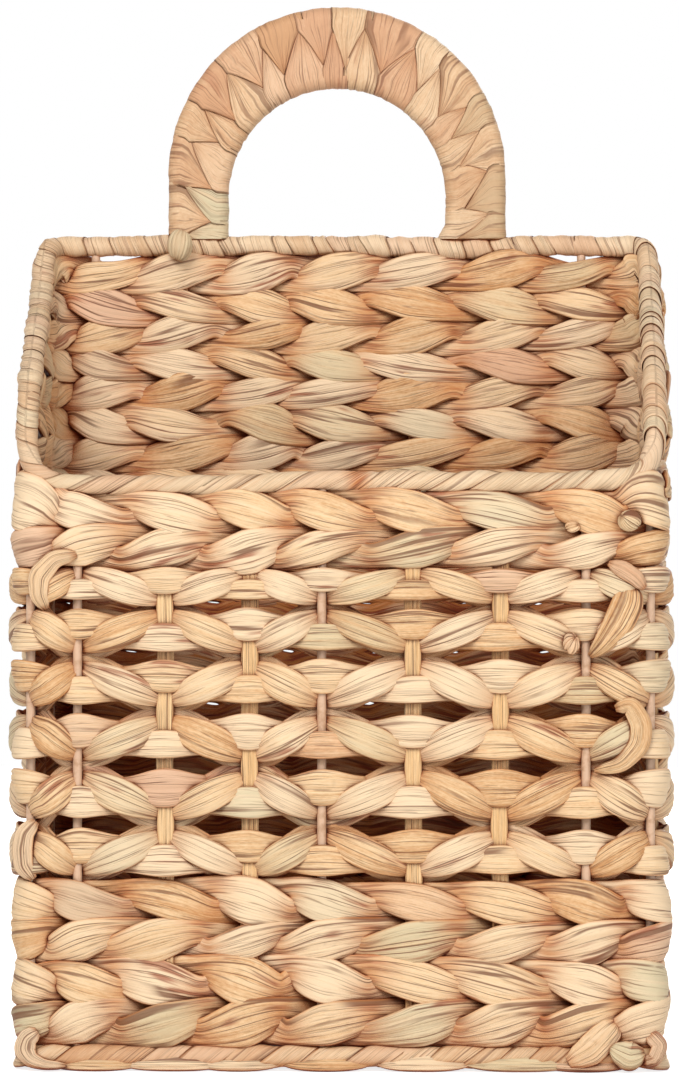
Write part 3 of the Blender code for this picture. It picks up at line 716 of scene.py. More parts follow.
def starRow(number):
    # The course between two rows of centres: zigzag, dome and bowl strands
    look = starLook
    bottom, top = starLevels[number], starLevels[number + 1]
    gap = top - bottom
    distance, phase = closedWalk()
    place, out = wallAt(distance)
    parity = number % 2  # 0 where the star of the first stake is on the upper row
    cycle = phase + parity
    swell = np.sin(math.pi * (cycle - np.floor(cycle)))
    lower = np.abs(np.mod(cycle + 1, 2) - 1)
    # The rows stand closer together on the back wall
    behind = smooth((place[:, 1] + wall["halfDepth"] / 2) / wall["halfDepth"])

    def strand(which, stray, reach, high, half, thick, tones, pinch, roll, seam):
        seed = (40 + number, which)
        strays = ((reach, stray[0], 3, 20), (high, stray[1], 4, 24), (half, stray[2] * half, 5, 30))
        reach, high, half = (value + size * wander((*seed, key), distance, spacing * mm, True)
                             for value, size, key, spacing in strays)
        line = place + out * reach[:, None]
        line[:, 2] = high
        return leafStrand(seed, line, out, half, thick, leafTints(seed, tones), pinch, True, roll,
                          hiddenSeams(distance, seam))

    clear = np.clip((swell - look["edge"]) / (1 - look["edge"]), 0, 1) ** look["climbPower"]
    reach = between(look["zigzagBehind"], look["zigzagFront"], clear)
    share = look["centreShare"] + (1 - 2 * look["centreShare"]) * lower
    half = between(look["zigzagPinch"], look["zigzagHalf"], swell ** look["petalPower"])
    half = half * min(1.0, 0.55 + 0.45 * gap / look["fullGap"]) * (1 + look["backPetal"] * behind)
    parts = [strand(0, look["zigzagStray"], reach, top - gap * share, half,
                    look["zigzagThick"] * (0.45 + 0.55 * swell), 2 * phase + 1, (1 - swell) ** 1.2, 0.0, 0)]
    for which, sense in ((1, 1), (2, -1)):
        # The dome hangs under the upper centres, the bowl stands over the lower ones
        turn = np.cos(math.pi * lower) * sense
        front, rear = np.clip(turn, 0, 1), np.clip(-turn, 0, 1)
        away = between(look["middleShare"], look["frontShare"][which - 1], front)
        away = away + (look["rearShare"] - look["middleShare"]) * rear
        away = (away + behind * (look["backDrop"] * front + look["backSpread"] * (1 - front - rear))) * gap
        half = between(look["halfMiddle"], look["halfFront"][which - 1], front ** 2)
        half = half + (look["halfRear"] - look["halfMiddle"]) * rear ** 2
        half = half * gap * (1 + look["backFuller"] * behind)
        parts.append(strand(which, look["crossStray"],
                            look["reach"] * np.sign(turn) * np.abs(turn) ** look["reachPower"],
                            top - away if sense > 0 else bottom + away, half, look["thick"],
                            cycle if sense > 0 else cycle + 1, (1 - np.abs(turn)) ** 1.5,
                            look["tilt"] * sense * front, which + parity + 1))
    makePiece(f"star_row_{number + 1}", parts, "woven_leaf", [f"star_course_{number + 1}"])


for number in range(len(starLevels) - 1):
    starRow(number)
print("star rows made")


# The rim: its line over the front, up the sloped sides and along the back

rimLook = {"frontHeight": 238.3 * mm, "backHeight": 339.8 * mm, "radius": 5.0 * mm, "runIn": 10.0 * mm,
           "ease": 9 * mm,
           # Shares of the climb: at each quarter of the corner, then by shares of the side's depth
           "cornerRise": (0.015, 0.03, 0.05, 0.075, 0.12),
           "rise": ((0.07, 0.29), (0.20, 0.41), (0.44, 0.56), (0.70, 0.69), (0.93, 0.84), (1.0, 1.0))}


def rimHeights():
    # The rim's height at distances from the middle of the front to that of the back
    look, start = rimLook, cornerRun / 2 + frontRun
    knots = [(start - look["runIn"], 0.0)]
    knots += [(start + step / 4 * cornerRun, share) for step, share in enumerate(look["cornerRise"])]
    knots += [(start + cornerRun + depth * sideRun, share) for depth, share in look["rise"]]
    distance = np.linspace(0, girth / 2 + frontRun / 2 + cornerRun / 2, 2400)
    level = np.interp(distance, *zip(*knots))
    level = eased(level, int(look["ease"] / (distance[1] - distance[0])), "edge")
    return distance, between(look["frontHeight"], look["backHeight"], level)


rimTable = rimHeights()


def rimHeightAt(distance):
    # The right half is mirrored onto the left one about the middle of the front
    centre = cornerRun / 2 + frontRun / 2
    away = np.abs(np.mod(distance - centre + girth / 2, girth) - girth / 2)
    return np.interp(away + centre, *rimTable)


def ringLine(heightAt, ease=0.0):
    # A closed line round the walls, its corners eased, and the way out of the wall
    distance = np.linspace(0, girth, 4000, endpoint=False)
    place, out = wallAt(distance)
    place[:, 2] = heightAt(distance)
    if ease:
        reach = int(ease / (distance[1] - distance[0]))
        place = np.stack([eased(column, reach, "wrap") for column in place.T], -1)
    return place, out, lengthsAlong(np.concatenate([place, place[:1]]))


# A flat leaf strip wound round a closed line, each turn lying over the one before

windLook = {"around": 34, "across": 11, "overlap": 0.28, "lift": 0.20 * mm, "thick": 0.5 * mm,
            "crown": 0.35 * mm, "tuck": 0.15 * mm, "foldHeight": 0.24 * mm, "foldTurn": 12 * mm,
            "foldLength": 9 * mm, "foldCount": 5, "seam": 0.5, "seamWidth": 0.10, "swell": 0.4 * mm,
            "uneven": (0.1, 1.7), "pinkOdds": (-0.9, 0.6), "greenOdds": (-1.5, 0.5), "fibreTurn": 30 * mm}


def windStrip(seed, place, out, travelled, sizes, change, slant, tones, stain=0.0):
    # sizes are the radius and the pitch, and these and the stain may differ along the line
    look, total, chance = windLook, travelled[-1], dice(*seed)
    radius, pitch, stain = (np.broadcast_to(value, len(place)) for value in (*sizes, stain))
    widths = []
    while sum(widths) < total:
        here = np.interp(sum(widths), travelled[:-1], pitch)
        widths.append(here * (1 + change * chance.uniform(-1, 1)))
    widths = np.array(widths) * total / sum(widths)
    turns, around, across = len(widths), look["around"], look["across"]
    time = np.arange(turns * around + 1) / around

    def byTurn(values, ahead=0):
        return np.interp(time + ahead, np.arange(len(values)), values)

    def onLine(values, where):
        if values.ndim > 1:
            return np.stack([onLine(column, where) for column in values.T], -1)
        return np.interp(where, travelled, np.append(values, values[0]))

    edges = np.concatenate([[0.0], np.cumsum(widths), total + np.cumsum(widths[:2])])
    begin = byTurn(edges[:-1])
    width = byTurn(edges, 1) - begin
    share = np.concatenate([np.linspace(0, 1 + look["overlap"], across),
                            np.linspace(1 + look["overlap"], 0, across // 2 + 2)[1:-1]])
    inner = np.arange(len(share)) >= across
    angle = -fullTurn * time
    travel = np.mod(begin[:, None] + share * width[:, None] + slant * np.cos(angle)[:, None], total)
    ring, away = onLine(place, travel), unit(onLine(out, travel))
    heading = unit(onLine(place, np.mod(travel + 2 * mm, total)) - ring)
    upward = unit(np.cross(away, heading))
    upward = np.where(upward[..., 2:3] < 0, -upward, upward)
    bulge = byTurn(chance.uniform(-1, 1, turns + 1) * look["swell"])[:, None]
    fold = streaks((*seed, 7), time * look["foldTurn"], np.clip(share * 1.4 - 0.9, -1, 1),
                   look["foldLength"], look["foldCount"])
    strength = byTurn(chance.uniform(*look["uneven"], turns + 1))[:, None]
    covered = np.clip(share, 0, 1)
    rise = look["lift"] * strength * (1 - covered) ** 0.8 - look["tuck"] * np.clip(share - 1, 0, 1)
    size = onLine(radius, travel) + bulge + rise + look["crown"] * np.sin(math.pi * covered)
    size = size + look["foldHeight"] * fold - look["thick"] * inner
    rings = (ring + away * (size * np.sin(angle)[:, None])[..., None]
             + upward * (size * np.cos(angle)[:, None])[..., None])
    ranges = ((tones, tones), (look["pinkOdds"], (0, 1)), (look["greenOdds"], (0, 1)))
    light, pink, green = (byTurn(np.clip(chance.uniform(*odds, turns + 1), *limits))[:, None]
                          for odds, limits in ranges)
    # A dark line along the first edge of each turn, where it lies over the turn before: partly the leaf
    # edge's own colour, partly painted shade at the lap; it goes to the pinch and edge marks
    rim = np.clip(1 - share / look["seamWidth"], 0, 1) * look["seam"] * strength
    turnNumber = np.clip(np.floor(time).astype(int), 0, turns - 1)[:, None]
    looks = leafLooks(size.shape, (share * 2 - 1, time[:, None] * look["fibreTurn"], turnNumber * 0.31),
                      (light, green, pink), (np.maximum(rim, onLine(stain, travel)), 0.0, rim))
    return sweep(rings[::-1], {key: value[::-1] for key, value in looks.items()}, False)


# Radius and pitch are given for the front, the sides and the back, and change at these depths
rimWrapLook = {"radius": (3.8 * mm, 4.4 * mm, 4.0 * mm), "pitch": (13.5 * mm, 6.5 * mm, 8.5 * mm),
               "depths": (-0.98, -0.7, 0.7, 0.98), "change": 0.5, "slant": 3.4 * mm,
               "tones": (0.30, 0.80), "ease": 13.0 * mm, "wave": 0.9 * mm,
               "waveLength": 40.0 * mm, "stainPlace": 7.5 * mm, "stainHalf": 4.5 * mm, "stain": 1.5,
               "wireRadius": 1.7 * mm, "wirePoints": 12, "wireEvery": 8}
baseLook = {"height": 5.9 * mm, "radius": 4.1 * mm, "pitch": 15.0 * mm, "change": 0.35, "slant": 2.5 * mm,
            "tones": (0.0, 0.5)}


def byDepth(place, front, side, back):
    # A size that changes from the front over the sides to the back
    return np.interp(place[:, 1] / wall["halfDepth"], rimWrapLook["depths"], (front, side, side, back))


def rimWavedAt(distance):
    look = rimWrapLook
    return rimHeightAt(distance) + look["wave"] * waveAround((60,), distance, look["waveLength"], 900)


look = rimWrapLook
rimPlace, rimOut, rimTravelled = ringLine(rimWavedAt, look["ease"])
sizes = [byDepth(rimPlace, *look[key]) for key in ("radius", "pitch")]
# One brown stain near the middle of the front
stain = look["stain"] * np.exp(-((rimPlace[:, 0] - look["stainPlace"]) / look["stainHalf"]) ** 2)
strip = windStrip((61,), rimPlace, rimOut, rimTravelled, sizes, look["change"], look["slant"],
                  look["tones"], stain * (rimPlace[:, 1] < 0))
makePiece("rim_winding", [strip], "wound_leaf", ["rim_wrap"])

look = baseLook
strip = windStrip((62,), *ringLine(lambda distance: np.full(len(distance), baseLook["height"])),
                  (look["radius"], look["pitch"]), look["change"], look["slant"], look["tones"])
makePiece("base_winding", [strip], "wound_leaf", ["base_wrap"])

hemLook = {"count": 21, "rows": 50, "length": 1.3, "lengthChange": 0.15, "placeChange": 0.14,
           "reach": 2.6 * mm, "stand": 1.0 * mm, "half": 3.7 * mm, "halfChange": 0.15,
           "tipHalf": 0.9 * mm, "tipHeight": 5.0 * mm, "clear": -0.2 * mm, "thick": 3.0 * mm,
           "roll": 0.5, "tone": 0.25}


def hemLeaf(index):
    # A long lens of leaf that laps under the rod, fat in the middle of its run
    look = hemLook
    chance = dice(64, index)
    step = girth / look["count"]
    share = np.linspace(0, 1, look["rows"])
    start = (index + look["placeChange"] * chance.uniform(-1, 1)) * step
    length = step * (look["length"] + look["lengthChange"] * chance.uniform(-1, 1))
    place, out = wallAt(start + share * length)
    swell = np.sin(math.pi * share) ** 0.7
    line = place + out * (look["reach"] * swell + look["stand"])[:, None]
    half = between(look["tipHalf"], look["half"] * (1 + look["halfChange"] * chance.uniform(-1, 1)), swell)
    line[:, 2] = between(look["tipHeight"], half + look["clear"], swell)
    tint = leafTints((64, index), np.full(look["rows"], look["tone"]))
    return leafStrand((64, index), line, out, half, look["thick"] * (0.4 + 0.6 * swell), tint,
                      (1 - swell) ** 2, False, look["roll"])


makePiece("base_hem", [hemLeaf(index) for index in range(hemLook["count"])], "woven_leaf")
look = rimWrapLook
angle = np.linspace(0, fullTurn, look["wirePoints"], endpoint=False)[None, :, None]
place, out = (values[::look["wireEvery"], None] for values in (rimPlace, rimOut))
rings = place + look["wireRadius"] * (out * np.cos(angle) + upAxis * np.sin(angle))
makePiece("painted_rim", [sweep(rings, {}, True)], "painted_wire", ["rim_wire"])
print("rim and base wound")


# Back rows, which stop at the sloped rim

backLook = {"rows": 8, "step": 0.5 * mm, "tuck": 7.0 * mm, "drop": 5.0 * mm, "taper": 9.0 * mm,
            "fuller": 1.6 * mm, "topRise": 1.2 * mm, "topFuller": 3.2 * mm, "standOut": 1.2 * mm,
            "standRun": 8 * mm, "standStart": 15,
            "slit": 4.5 * mm, "slitPlace": 98.0 * mm, "slitHalf": 26.0 * mm}


def tuckedIn(line, out, half, thick, along):
    # The strands narrow and drop a little where they tuck in under the rim
    look = backLook
    left = np.minimum(along, along[-1] - along)
    share = smooth(left / look["taper"])
    stand = look["standOut"] * smooth(line[:, 0] / look["standRun"] - look["standStart"])
    line = line + out * stand[:, None]
    line[:, 2] -= look["drop"] * (1 - smooth(left / look["tuck"]))
    return line, half * (0.25 + 0.75 * share), thick * (0.3 + 0.7 * share)


def backRow(number):
    look, node = backLook, f"back_course_{number + 1}"
    low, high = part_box(node)
    top = number == look["rows"] - 1
    middle = (low.z + high.z) / 2 + (look["topRise"] if top else 0.0)
    height = high.z - low.z + (look["topFuller"] if top else look["fuller"])
    distance = np.arange(cornerRun, girth / 2, look["step"])
    below = rimHeightAt(distance) - rimLook["radius"] < middle + 0.15 * height
    start = distance[np.nonzero(below)[0][-1]] if below.any() else distance[0]
    start = max(start, cornerRun * 1.5)
    stop = girth + cornerRun + frontRun - start
    distance = np.linspace(start, stop, int((stop - start) / strandLook["step"]))
    below, above = rowWave(70 + number, distance), rowWave(71 + number, distance)
    middle, height = middle + (below + above) / 2, height + above - below
    if top:
        # A slit is left under the rim on both sides of the handle
        place, _ = wallAt(distance)
        slit = smooth(1 - np.abs(np.abs(place[:, 0]) - look["slitPlace"]) / look["slitHalf"]) * look["slit"]
        middle, height = middle - slit / 2, height - slit
    lean = 1 if number % 2 == 0 else -1
    phase = phaseAt(distance)
    parts = [twinedStrand((70 + number, which), distance, phase, middle, height, lean, False, tuckedIn)
             for which in (0, 1)]
    makePiece(f"back_row_{number + 1}", parts, "woven_leaf", [node])


for number in range(backLook["rows"]):
    backRow(number)
print("back rows made")


# The floor of the basket: rows from side to side that hold the stakes

floorRowLook = {"rows": 5, "height": 17.6 * mm, "reach": 3.1 * mm, "thick": 3.2 * mm, "rise": 8.3 * mm,
                "swing": 0.25, "half": 0.49, "narrower": 0.25, "taper": 8 * mm}


def floorRow(number):
    look, node = floorRowLook, f"base_strand_{number + 1}"
    low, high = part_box(node)
    x = np.linspace(low.x, high.x, int((high.x - low.x) / strandLook["step"]))
    stakes = np.concatenate([[low.x], stations[1:8] - cornerRun / 2 - frontRun / 2, [high.x]])
    phase = np.interp(x, stakes, np.arange(len(stakes)))
    share = smooth(np.minimum(x - x[0], x[-1] - x) / look["taper"])
    swing = look["swing"] * look["height"] * (1 if number % 2 == 0 else -1)
    parts = []
    for which in (0, 1):
        seed = (90 + number, which)
        angle = math.pi * (phase + which)
        cross = np.abs(np.sin(angle)) ** twineLook["widthPower"]
        line = layers(x.shape, x, (low.y + high.y) / 2 + swing * cross * np.sign(np.sin(angle)),
                      look["rise"] + look["reach"] * np.cos(angle) * share)
        half = look["height"] * (look["half"] - look["narrower"] * cross) * (0.3 + 0.7 * share)
        parts.append(leafStrand(seed, line, -upAxis, half, look["thick"] * (0.5 + 0.5 * share),
                                leafTints(seed, phase, which), cross ** 2, False))
    makePiece(f"floor_row_{number + 1}", parts, "woven_leaf", [node])


for number in range(floorRowLook["rows"]):
    floorRow(number)
print("floor rows made")


# Stakes: painted wires and flat cords, down the front, under the floor and up the back

stakeLook = {"wireRadius": 1.85 * mm, "wirePoints": 18, "cordHalf": 3.5 * mm, "cordDepth": 1.95 * mm,
             "cordPoints": 44, "scallop": 0.28, "flatness": 0.6, "groove": 0.35, "tones": (0.55, 0.8),
             "wobble": 0.35 * mm, "wobbleLength": 35 * mm, "bend": 4.1 * mm, "rimGap": 2.6 * mm,
             "postDrop": 10.0 * mm, "step": 2 * mm, "postStep": 4 * mm, "bendSteps": 7,
             "floorSteps": 40}


def bar(line, side, outline, cordSeed=None):
    # A bar with this outline (across, outwards) swept along a line, grooved as a cord is
    face = unit(np.cross(unit(np.gradient(line, axis=0)), side))
    across = np.cross(face, unit(np.gradient(line, axis=0)))
    rings = line[:, None] + across[:, None] * outline[None, :, :1] + face[:, None] * outline[None, :, 1:]
    looks = {}
    if cordSeed:
        wide = outline[:, 0] / stakeLook["cordHalf"]
        # Painted shade in the grooves between the cords, through the groove mark
        grooves = np.clip(1 - np.abs(np.cos(wide * fullTurn + quarterTurn)) / stakeLook["groove"], 0, 1)
        light = dice(cordSeed, 8).uniform(*stakeLook["tones"])
        looks = leafLooks(rings.shape[:2], (wide * 2.2, lengthsAlong(line)[:, None], cordSeed * 0.71),
                          (light, 0.0, 0.0), (0.0, grooves * 0.5, 0.0))
    return sweep(rings, looks, False)


def wireOutline():
    angle = np.arange(stakeLook["wirePoints"]) / stakeLook["wirePoints"] * fullTurn
    return stakeLook["wireRadius"] * np.stack([np.cos(angle), np.sin(angle)], -1)


def cordOutline():
    # Four round cords side by side, as one scalloped outline
    look = stakeLook
    angle = np.arange(look["cordPoints"]) / look["cordPoints"] * fullTurn
    wide, high = np.cos(angle), np.sin(angle)
    scallop = 1 - look["scallop"] + look["scallop"] * np.abs(np.cos(wide * fullTurn + quarterTurn))
    return np.stack([look["cordHalf"] * wide,
                     look["cordDepth"] * np.sign(high) * np.abs(high) ** look["flatness"] * scallop], -1)


def longStake(node, radius):
    # From under the front rim to under the back rim, round two bends
    x, low = float(middleOf(node)[0]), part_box(node)[0].z + radius
    bend, depth, step = stakeLook["bend"], wall["halfDepth"], stakeLook["step"]
    front, back = (rimLook[key] - stakeLook["rimGap"] for key in ("frontHeight", "backHeight"))
    turn = np.linspace(0, quarterTurn, stakeLook["bendSteps"])[1:-1]
    points = [(-depth, z) for z in np.arange(front, low + bend, -step)] + [(-depth, low + bend)]
    points += [(-depth + bend * (1 - math.cos(a)), low + bend * (1 - math.sin(a))) for a in turn]
    points += [(y, low) for y in np.linspace(-depth + bend, depth - bend, stakeLook["floorSteps"])]
    points += [(depth - bend * (1 - math.sin(a)), low + bend * (1 - math.cos(a))) for a in turn]
    points += [(depth, low + bend)] + [(depth, z) for z in np.arange(low + bend + step, back, step)]
    return np.array([(x, y, z) for y, z in points])


def upright(node, step, drop=0.0):
    low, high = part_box(node)
    heights = np.arange(low.z, high.z - drop, step)
    return layers(heights.shape, (low.x + high.x) / 2, (low.y + high.y) / 2, heights)


wireShape, cordShape = wireOutline(), cordOutline()
for index in range(3):
    node = f"wire_rib_{index + 1}"
    rib = bar(longStake(node, stakeLook["wireRadius"]), acrossAxis, wireShape)
    makePiece(f"painted_rib_{index + 1}", [rib], "painted_wire", [node])
for index, number in enumerate((2, 3, 5, 6)):
    node = f"cord_stake_{number}"
    line = longStake(node, stakeLook["cordDepth"])
    # A slight bend this way and that, in the plane of the wall
    along = np.arange(len(line)) * stakeLook["step"]
    line[:, 0] += stakeLook["wobble"] * wander((110 + index, 5), along, stakeLook["wobbleLength"])
    makePiece(f"fibre_cord_{index + 1}", [bar(line, acrossAxis, cordShape, 120 + index)], "cord", [node])
for index, end in enumerate(("front", "back")):
    for hand in ("left", "right"):
        node = f"side_cord_{end}_{hand}"
        seed = 130 + index * 2 + (hand == "right")
        cord = bar(upright(node, stakeLook["step"]), depthAxis, cordShape, seed)
        makePiece(f"side_fibre_{end}_{hand}", [cord], "cord", [node])
        node = f"corner_post_{end}_{hand}"
        post = bar(upright(node, stakeLook["postStep"], stakeLook["postDrop"]), acrossAxis, wireShape)
        makePiece(f"painted_post_{end}_{hand}", [post], "painted_wire", [node])
print("stakes made")


# Handle: two arched wires under one leaf strip, wound in a figure of eight

handleLook = {"lobe": 4.9 * mm, "waist": 3.7 * mm, "turns": 15, "widthChange": 0.32, "tipShift": 0.22,
              "tip": 0.70, "tipChange": 0.14, "grow": 0.36, "shoulder": 1.2, "margin": (0.3 * mm, 1.0 * mm),
              "layer": 0.40 * mm, "thick": 0.8 * mm, "fold": 0.14 * mm, "groove": 0.1 * mm,
              "crown": 0.15 * mm, "tipDrop": 0.5 * mm, "edge": 0.94, "edgeWave": 0.35 * mm,
              "run": 60 * mm, "rows": 64, "across": 15, "creaseWidth": 0.12,
              "roundStart": 0.34, "roundRun": 0.32,
              "footDrop": 2.6 * mm, "flare": 3.4 * mm, "flareHeight": 9.0 * mm, "end": 0.2 * mm,
              "light": (-0.2, 0.5), "green": (0.0, 0.4), "pink": (0.0, 0.0, 0.6),
              "greenTurns": (0.55, 0.8, 0.0), "coreSpread": 1.6, "coreDrop": 0.5 * mm,
              "coreRows": 160, "corePoints": 36}


def archOf(node):
    low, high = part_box(node)
    thin = (high.y - low.y) / 2
    radius = (high.x - low.x) / 2 - thin
    return {"x": (low.x + high.x) / 2, "radius": radius, "spring": high.z - thin - radius}


outerArch, innerArch = archOf("handle_outer_wire"), archOf("handle_inner_wire")
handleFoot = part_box("handle_wrap")[0].z - handleLook["footDrop"]
middleRadius = (outerArch["radius"] + innerArch["radius"]) / 2
legRun = (outerArch["spring"] + innerArch["spring"]) / 2 - handleFoot
handleRun = 2 * legRun + math.pi * middleRadius


def bandAt(distance):
    # Middle and half width of the band between both wires, and the way out of the
    # arch, by distance from the left foot
    places = []
    angle = math.pi - np.clip((distance - legRun) / middleRadius, 0, math.pi)
    rise = np.clip(np.where(distance < handleRun / 2, distance, handleRun - distance) / legRun, 0, 1)
    # The lowest turn of the right leg spreads inwards over the rim
    flare = handleLook["flare"] * smooth(1 - (handleRun - distance) / handleLook["flareHeight"])
    for arch, inwards in ((outerArch, 0.0), (innerArch, flare)):
        z = arch["spring"] + arch["radius"] * np.sin(angle) - (1 - rise) * (arch["spring"] - handleFoot)
        x = arch["x"] + arch["radius"] * np.cos(angle) - inwards
        places.append(layers(angle.shape, x, wall["halfDepth"], z))
    outer, inner = places
    return (outer + inner) / 2, (outer - inner) / 2, layers(angle.shape, np.cos(angle), 0.0, np.sin(angle))


def bandDepth(rho):
    return between(handleLook["waist"], handleLook["lobe"], smooth(np.abs(rho) * 1.1))


def handleWedge(seed, base, tip, sign, tone):
    # One half turn: from its tip in front, over its wire and round to its tip behind.
    # base is where it starts and ends along the arch, and sign is 1 on the outer wire
    look, chance = handleLook, dice(*seed)
    depths = look["tip"] + look["tipChange"] * chance.uniform(-1, 1, 2)
    turned = np.linspace(0, 1, look["rows"])
    inFront = turned < 0.5
    grow = np.clip(np.where(inFront, turned, 1 - turned) / look["grow"], 0, 1)
    depth = np.where(inFront, *depths)
    rho = between(-depth, 1, grow)[:, None]
    phi = (math.pi * smooth((turned - look["roundStart"]) / look["roundRun"]))[:, None]
    share = np.clip(grow * look["shoulder"], 0, 1)
    margin = look["margin"][0] + look["margin"][1] * share
    first, last = between(tip, base[0], share) - margin, between(tip, base[1], share) + margin
    side = np.concatenate([np.linspace(-1, 1, look["across"]),
                           np.linspace(1, -1, look["across"] // 2 + 2)[1:-1]])
    outerFace = np.arange(len(side)) < look["across"]
    grow, along = grow[:, None], turned * look["run"]
    folds = streaks((*seed, 4), along, side, look["run"] / 2, 9) * (0.35 + 0.65 * grow)
    crease = streaks((*seed, 5), along, side, look["run"], 5)
    groove = np.clip(1 - np.abs(crease) / look["creaseWidth"], 0, 1) * outerFace
    # It lies over the turn before at its first edge, and higher at its tips than round its wire
    lift = (look["layer"] * (1.2 - 0.9 * side) * (1.15 - 0.75 * grow) * (1 - 0.65 * np.sin(phi))
            + look["fold"] * folds - look["groove"] * groove + look["crown"] * (1 - side ** 2)
            - look["tipDrop"] * (1 - smooth(grow * 6)) - look["thick"] * ~outerFace)
    edgeWave = look["edgeWave"] * wander((*seed, 2), turned, 0.2)
    distance = first[:, None] + (last - first)[:, None] * (side + 1) / 2 + edgeWave[:, None]
    distance = np.clip(distance, look["end"], handleRun - look["end"])
    middle, half, away = bandAt(distance)
    depth = bandDepth(rho) + lift
    rings = (middle + half * (sign * rho)[..., None] + away * (sign * depth * np.sin(phi))[..., None]
             - depthAxis * (depth * np.cos(phi))[..., None])
    if sign < 0:
        rings, grow, groove = rings[::-1], grow[::-1], groove[::-1]
    # Edges near the tips are tinted darker: partly the leaf's own edge colour, partly painted shade along
    # the seams where turns lap
    edge = smooth((np.abs(side) - look["edge"]) / (1 - look["edge"]))
    # The groove mark paints shade into the creases on the outer face
    looks = leafLooks(distance.shape, (side, along[:, None], chance.uniform(0, 7)), tone,
                      ((1 - smooth(grow * 1.6)) * 0.5, groove * 0.6, edge * (1 - smooth(grow))))
    return sweep(rings, looks, False)


def handleCore():
    # What lies under the winding, so that no gap shows through
    distance = np.linspace(0, handleRun, handleLook["coreRows"])
    angle = np.linspace(0, fullTurn, handleLook["corePoints"], endpoint=False)
    wide = np.cos(angle) * handleLook["coreSpread"]
    rho = np.clip(wide, -1, 1)
    beyond = np.clip((np.abs(wide) - 1) / (handleLook["coreSpread"] - 1), 0, 1)
    depth = bandDepth(rho) - handleLook["coreDrop"]
    middle, half, away = bandAt(distance)
    level = np.sign(np.sin(angle)) * depth * np.sqrt(1 - beyond ** 2)
    sideways = beyond * np.sign(wide) * depth
    rings = (middle[:, None] + half[:, None] * rho[None, :, None]
             + away[:, None] * sideways[None, :, None] + depthAxis * level[None, :, None])
    # Painted shade: the core gets a low tone and strong pinch, groove and edge marks, so that what shows
    # between the turns looks dark
    looks = leafLooks(rings.shape[:2], (distance[:, None] * 100, rho * 10 * mm, 0.0), (0.1, 0.0, 0.0),
                      (0.9, 0.3, 0.3))
    return sweep(rings, looks, False)


def handleWinding():
    look, chance = handleLook, dice(140)
    # Where one turn meets the next along the arch, at uneven distances
    count, pitch = look["turns"] + 2, handleRun / look["turns"]
    widths = 1 + look["widthChange"] * chance.uniform(-1, 1, count)
    outerSeams = np.concatenate([[0.0], np.cumsum(widths)])
    outerSeams = (outerSeams * count / outerSeams[-1] - 1) * pitch
    # The inner turns meet under the middles of the outer ones
    innerSeams = (outerSeams[1:] + outerSeams[:-1]) / 2
    innerSeams = innerSeams + look["tipShift"] * pitch * chance.uniform(-1, 1, count)
    parts = [handleCore()]
    for index in range(1, count):
        high = 1 - abs(2 * index / look["turns"] - 1)
        for sign, base, tip in ((1, outerSeams[index:index + 2], innerSeams[index]),
                                (-1, innerSeams[index - 1:index + 1], outerSeams[index])):
            tone = [chance.uniform(*look["light"]), chance.choice(look["green"]) * (high < 0.5),
                    chance.choice(look["pink"]) * high]
            if sign < 0 and index in (1, 2):
                tone = look["greenTurns"]
            if base[0] < handleRun and base[1] > 0:
                parts.append(handleWedge((141, index, sign + 1), base, tip, sign, tone))
    makePiece("handle_winding", parts, "wound_leaf", ["handle_wrap"])


handleWinding()
print("handle wound")


# The knot, and loose ends on the front: rolled buds and laps of leaf

ballLook = {"rows": 26, "points": 84, "poleDark": 0.8}
knotLook = {"size": 1.06, "axis": (0.25, 0.1, 1.0), "tone": (0.4, 0.55, 0.0), "ridge": 0.07, "folds": 15}
budLook = {  # Centre and half size in mm, axis, tone, height of the ridges and their count
    "right": ((117.0, -62.0, 223.0), (4.7, 3.2, 4.2), (-0.7, -0.5, 0.5), (0.45, 0.3, 0.0), 0.14, 22),
    "star": ((93.5, -61.5, 173.5), (3.2, 2.6, 4.2), (0.5, -0.6, 0.6), (0.5, 0.0, 0.5), 0.24, 9),
    "small": ((94.0, -62.0, 220.5), (3.0, 2.2, 2.2), (0.9, -0.3, 0.4), (0.3, 0.0, 0.2), 0.22, 9),
    "left": ((-131.8, -8.0, 282.0), (3.0, 2.6, 4.0), (0.2, -0.5, 0.9), (0.8, 0.0, 0.3), 0.14, 12)}
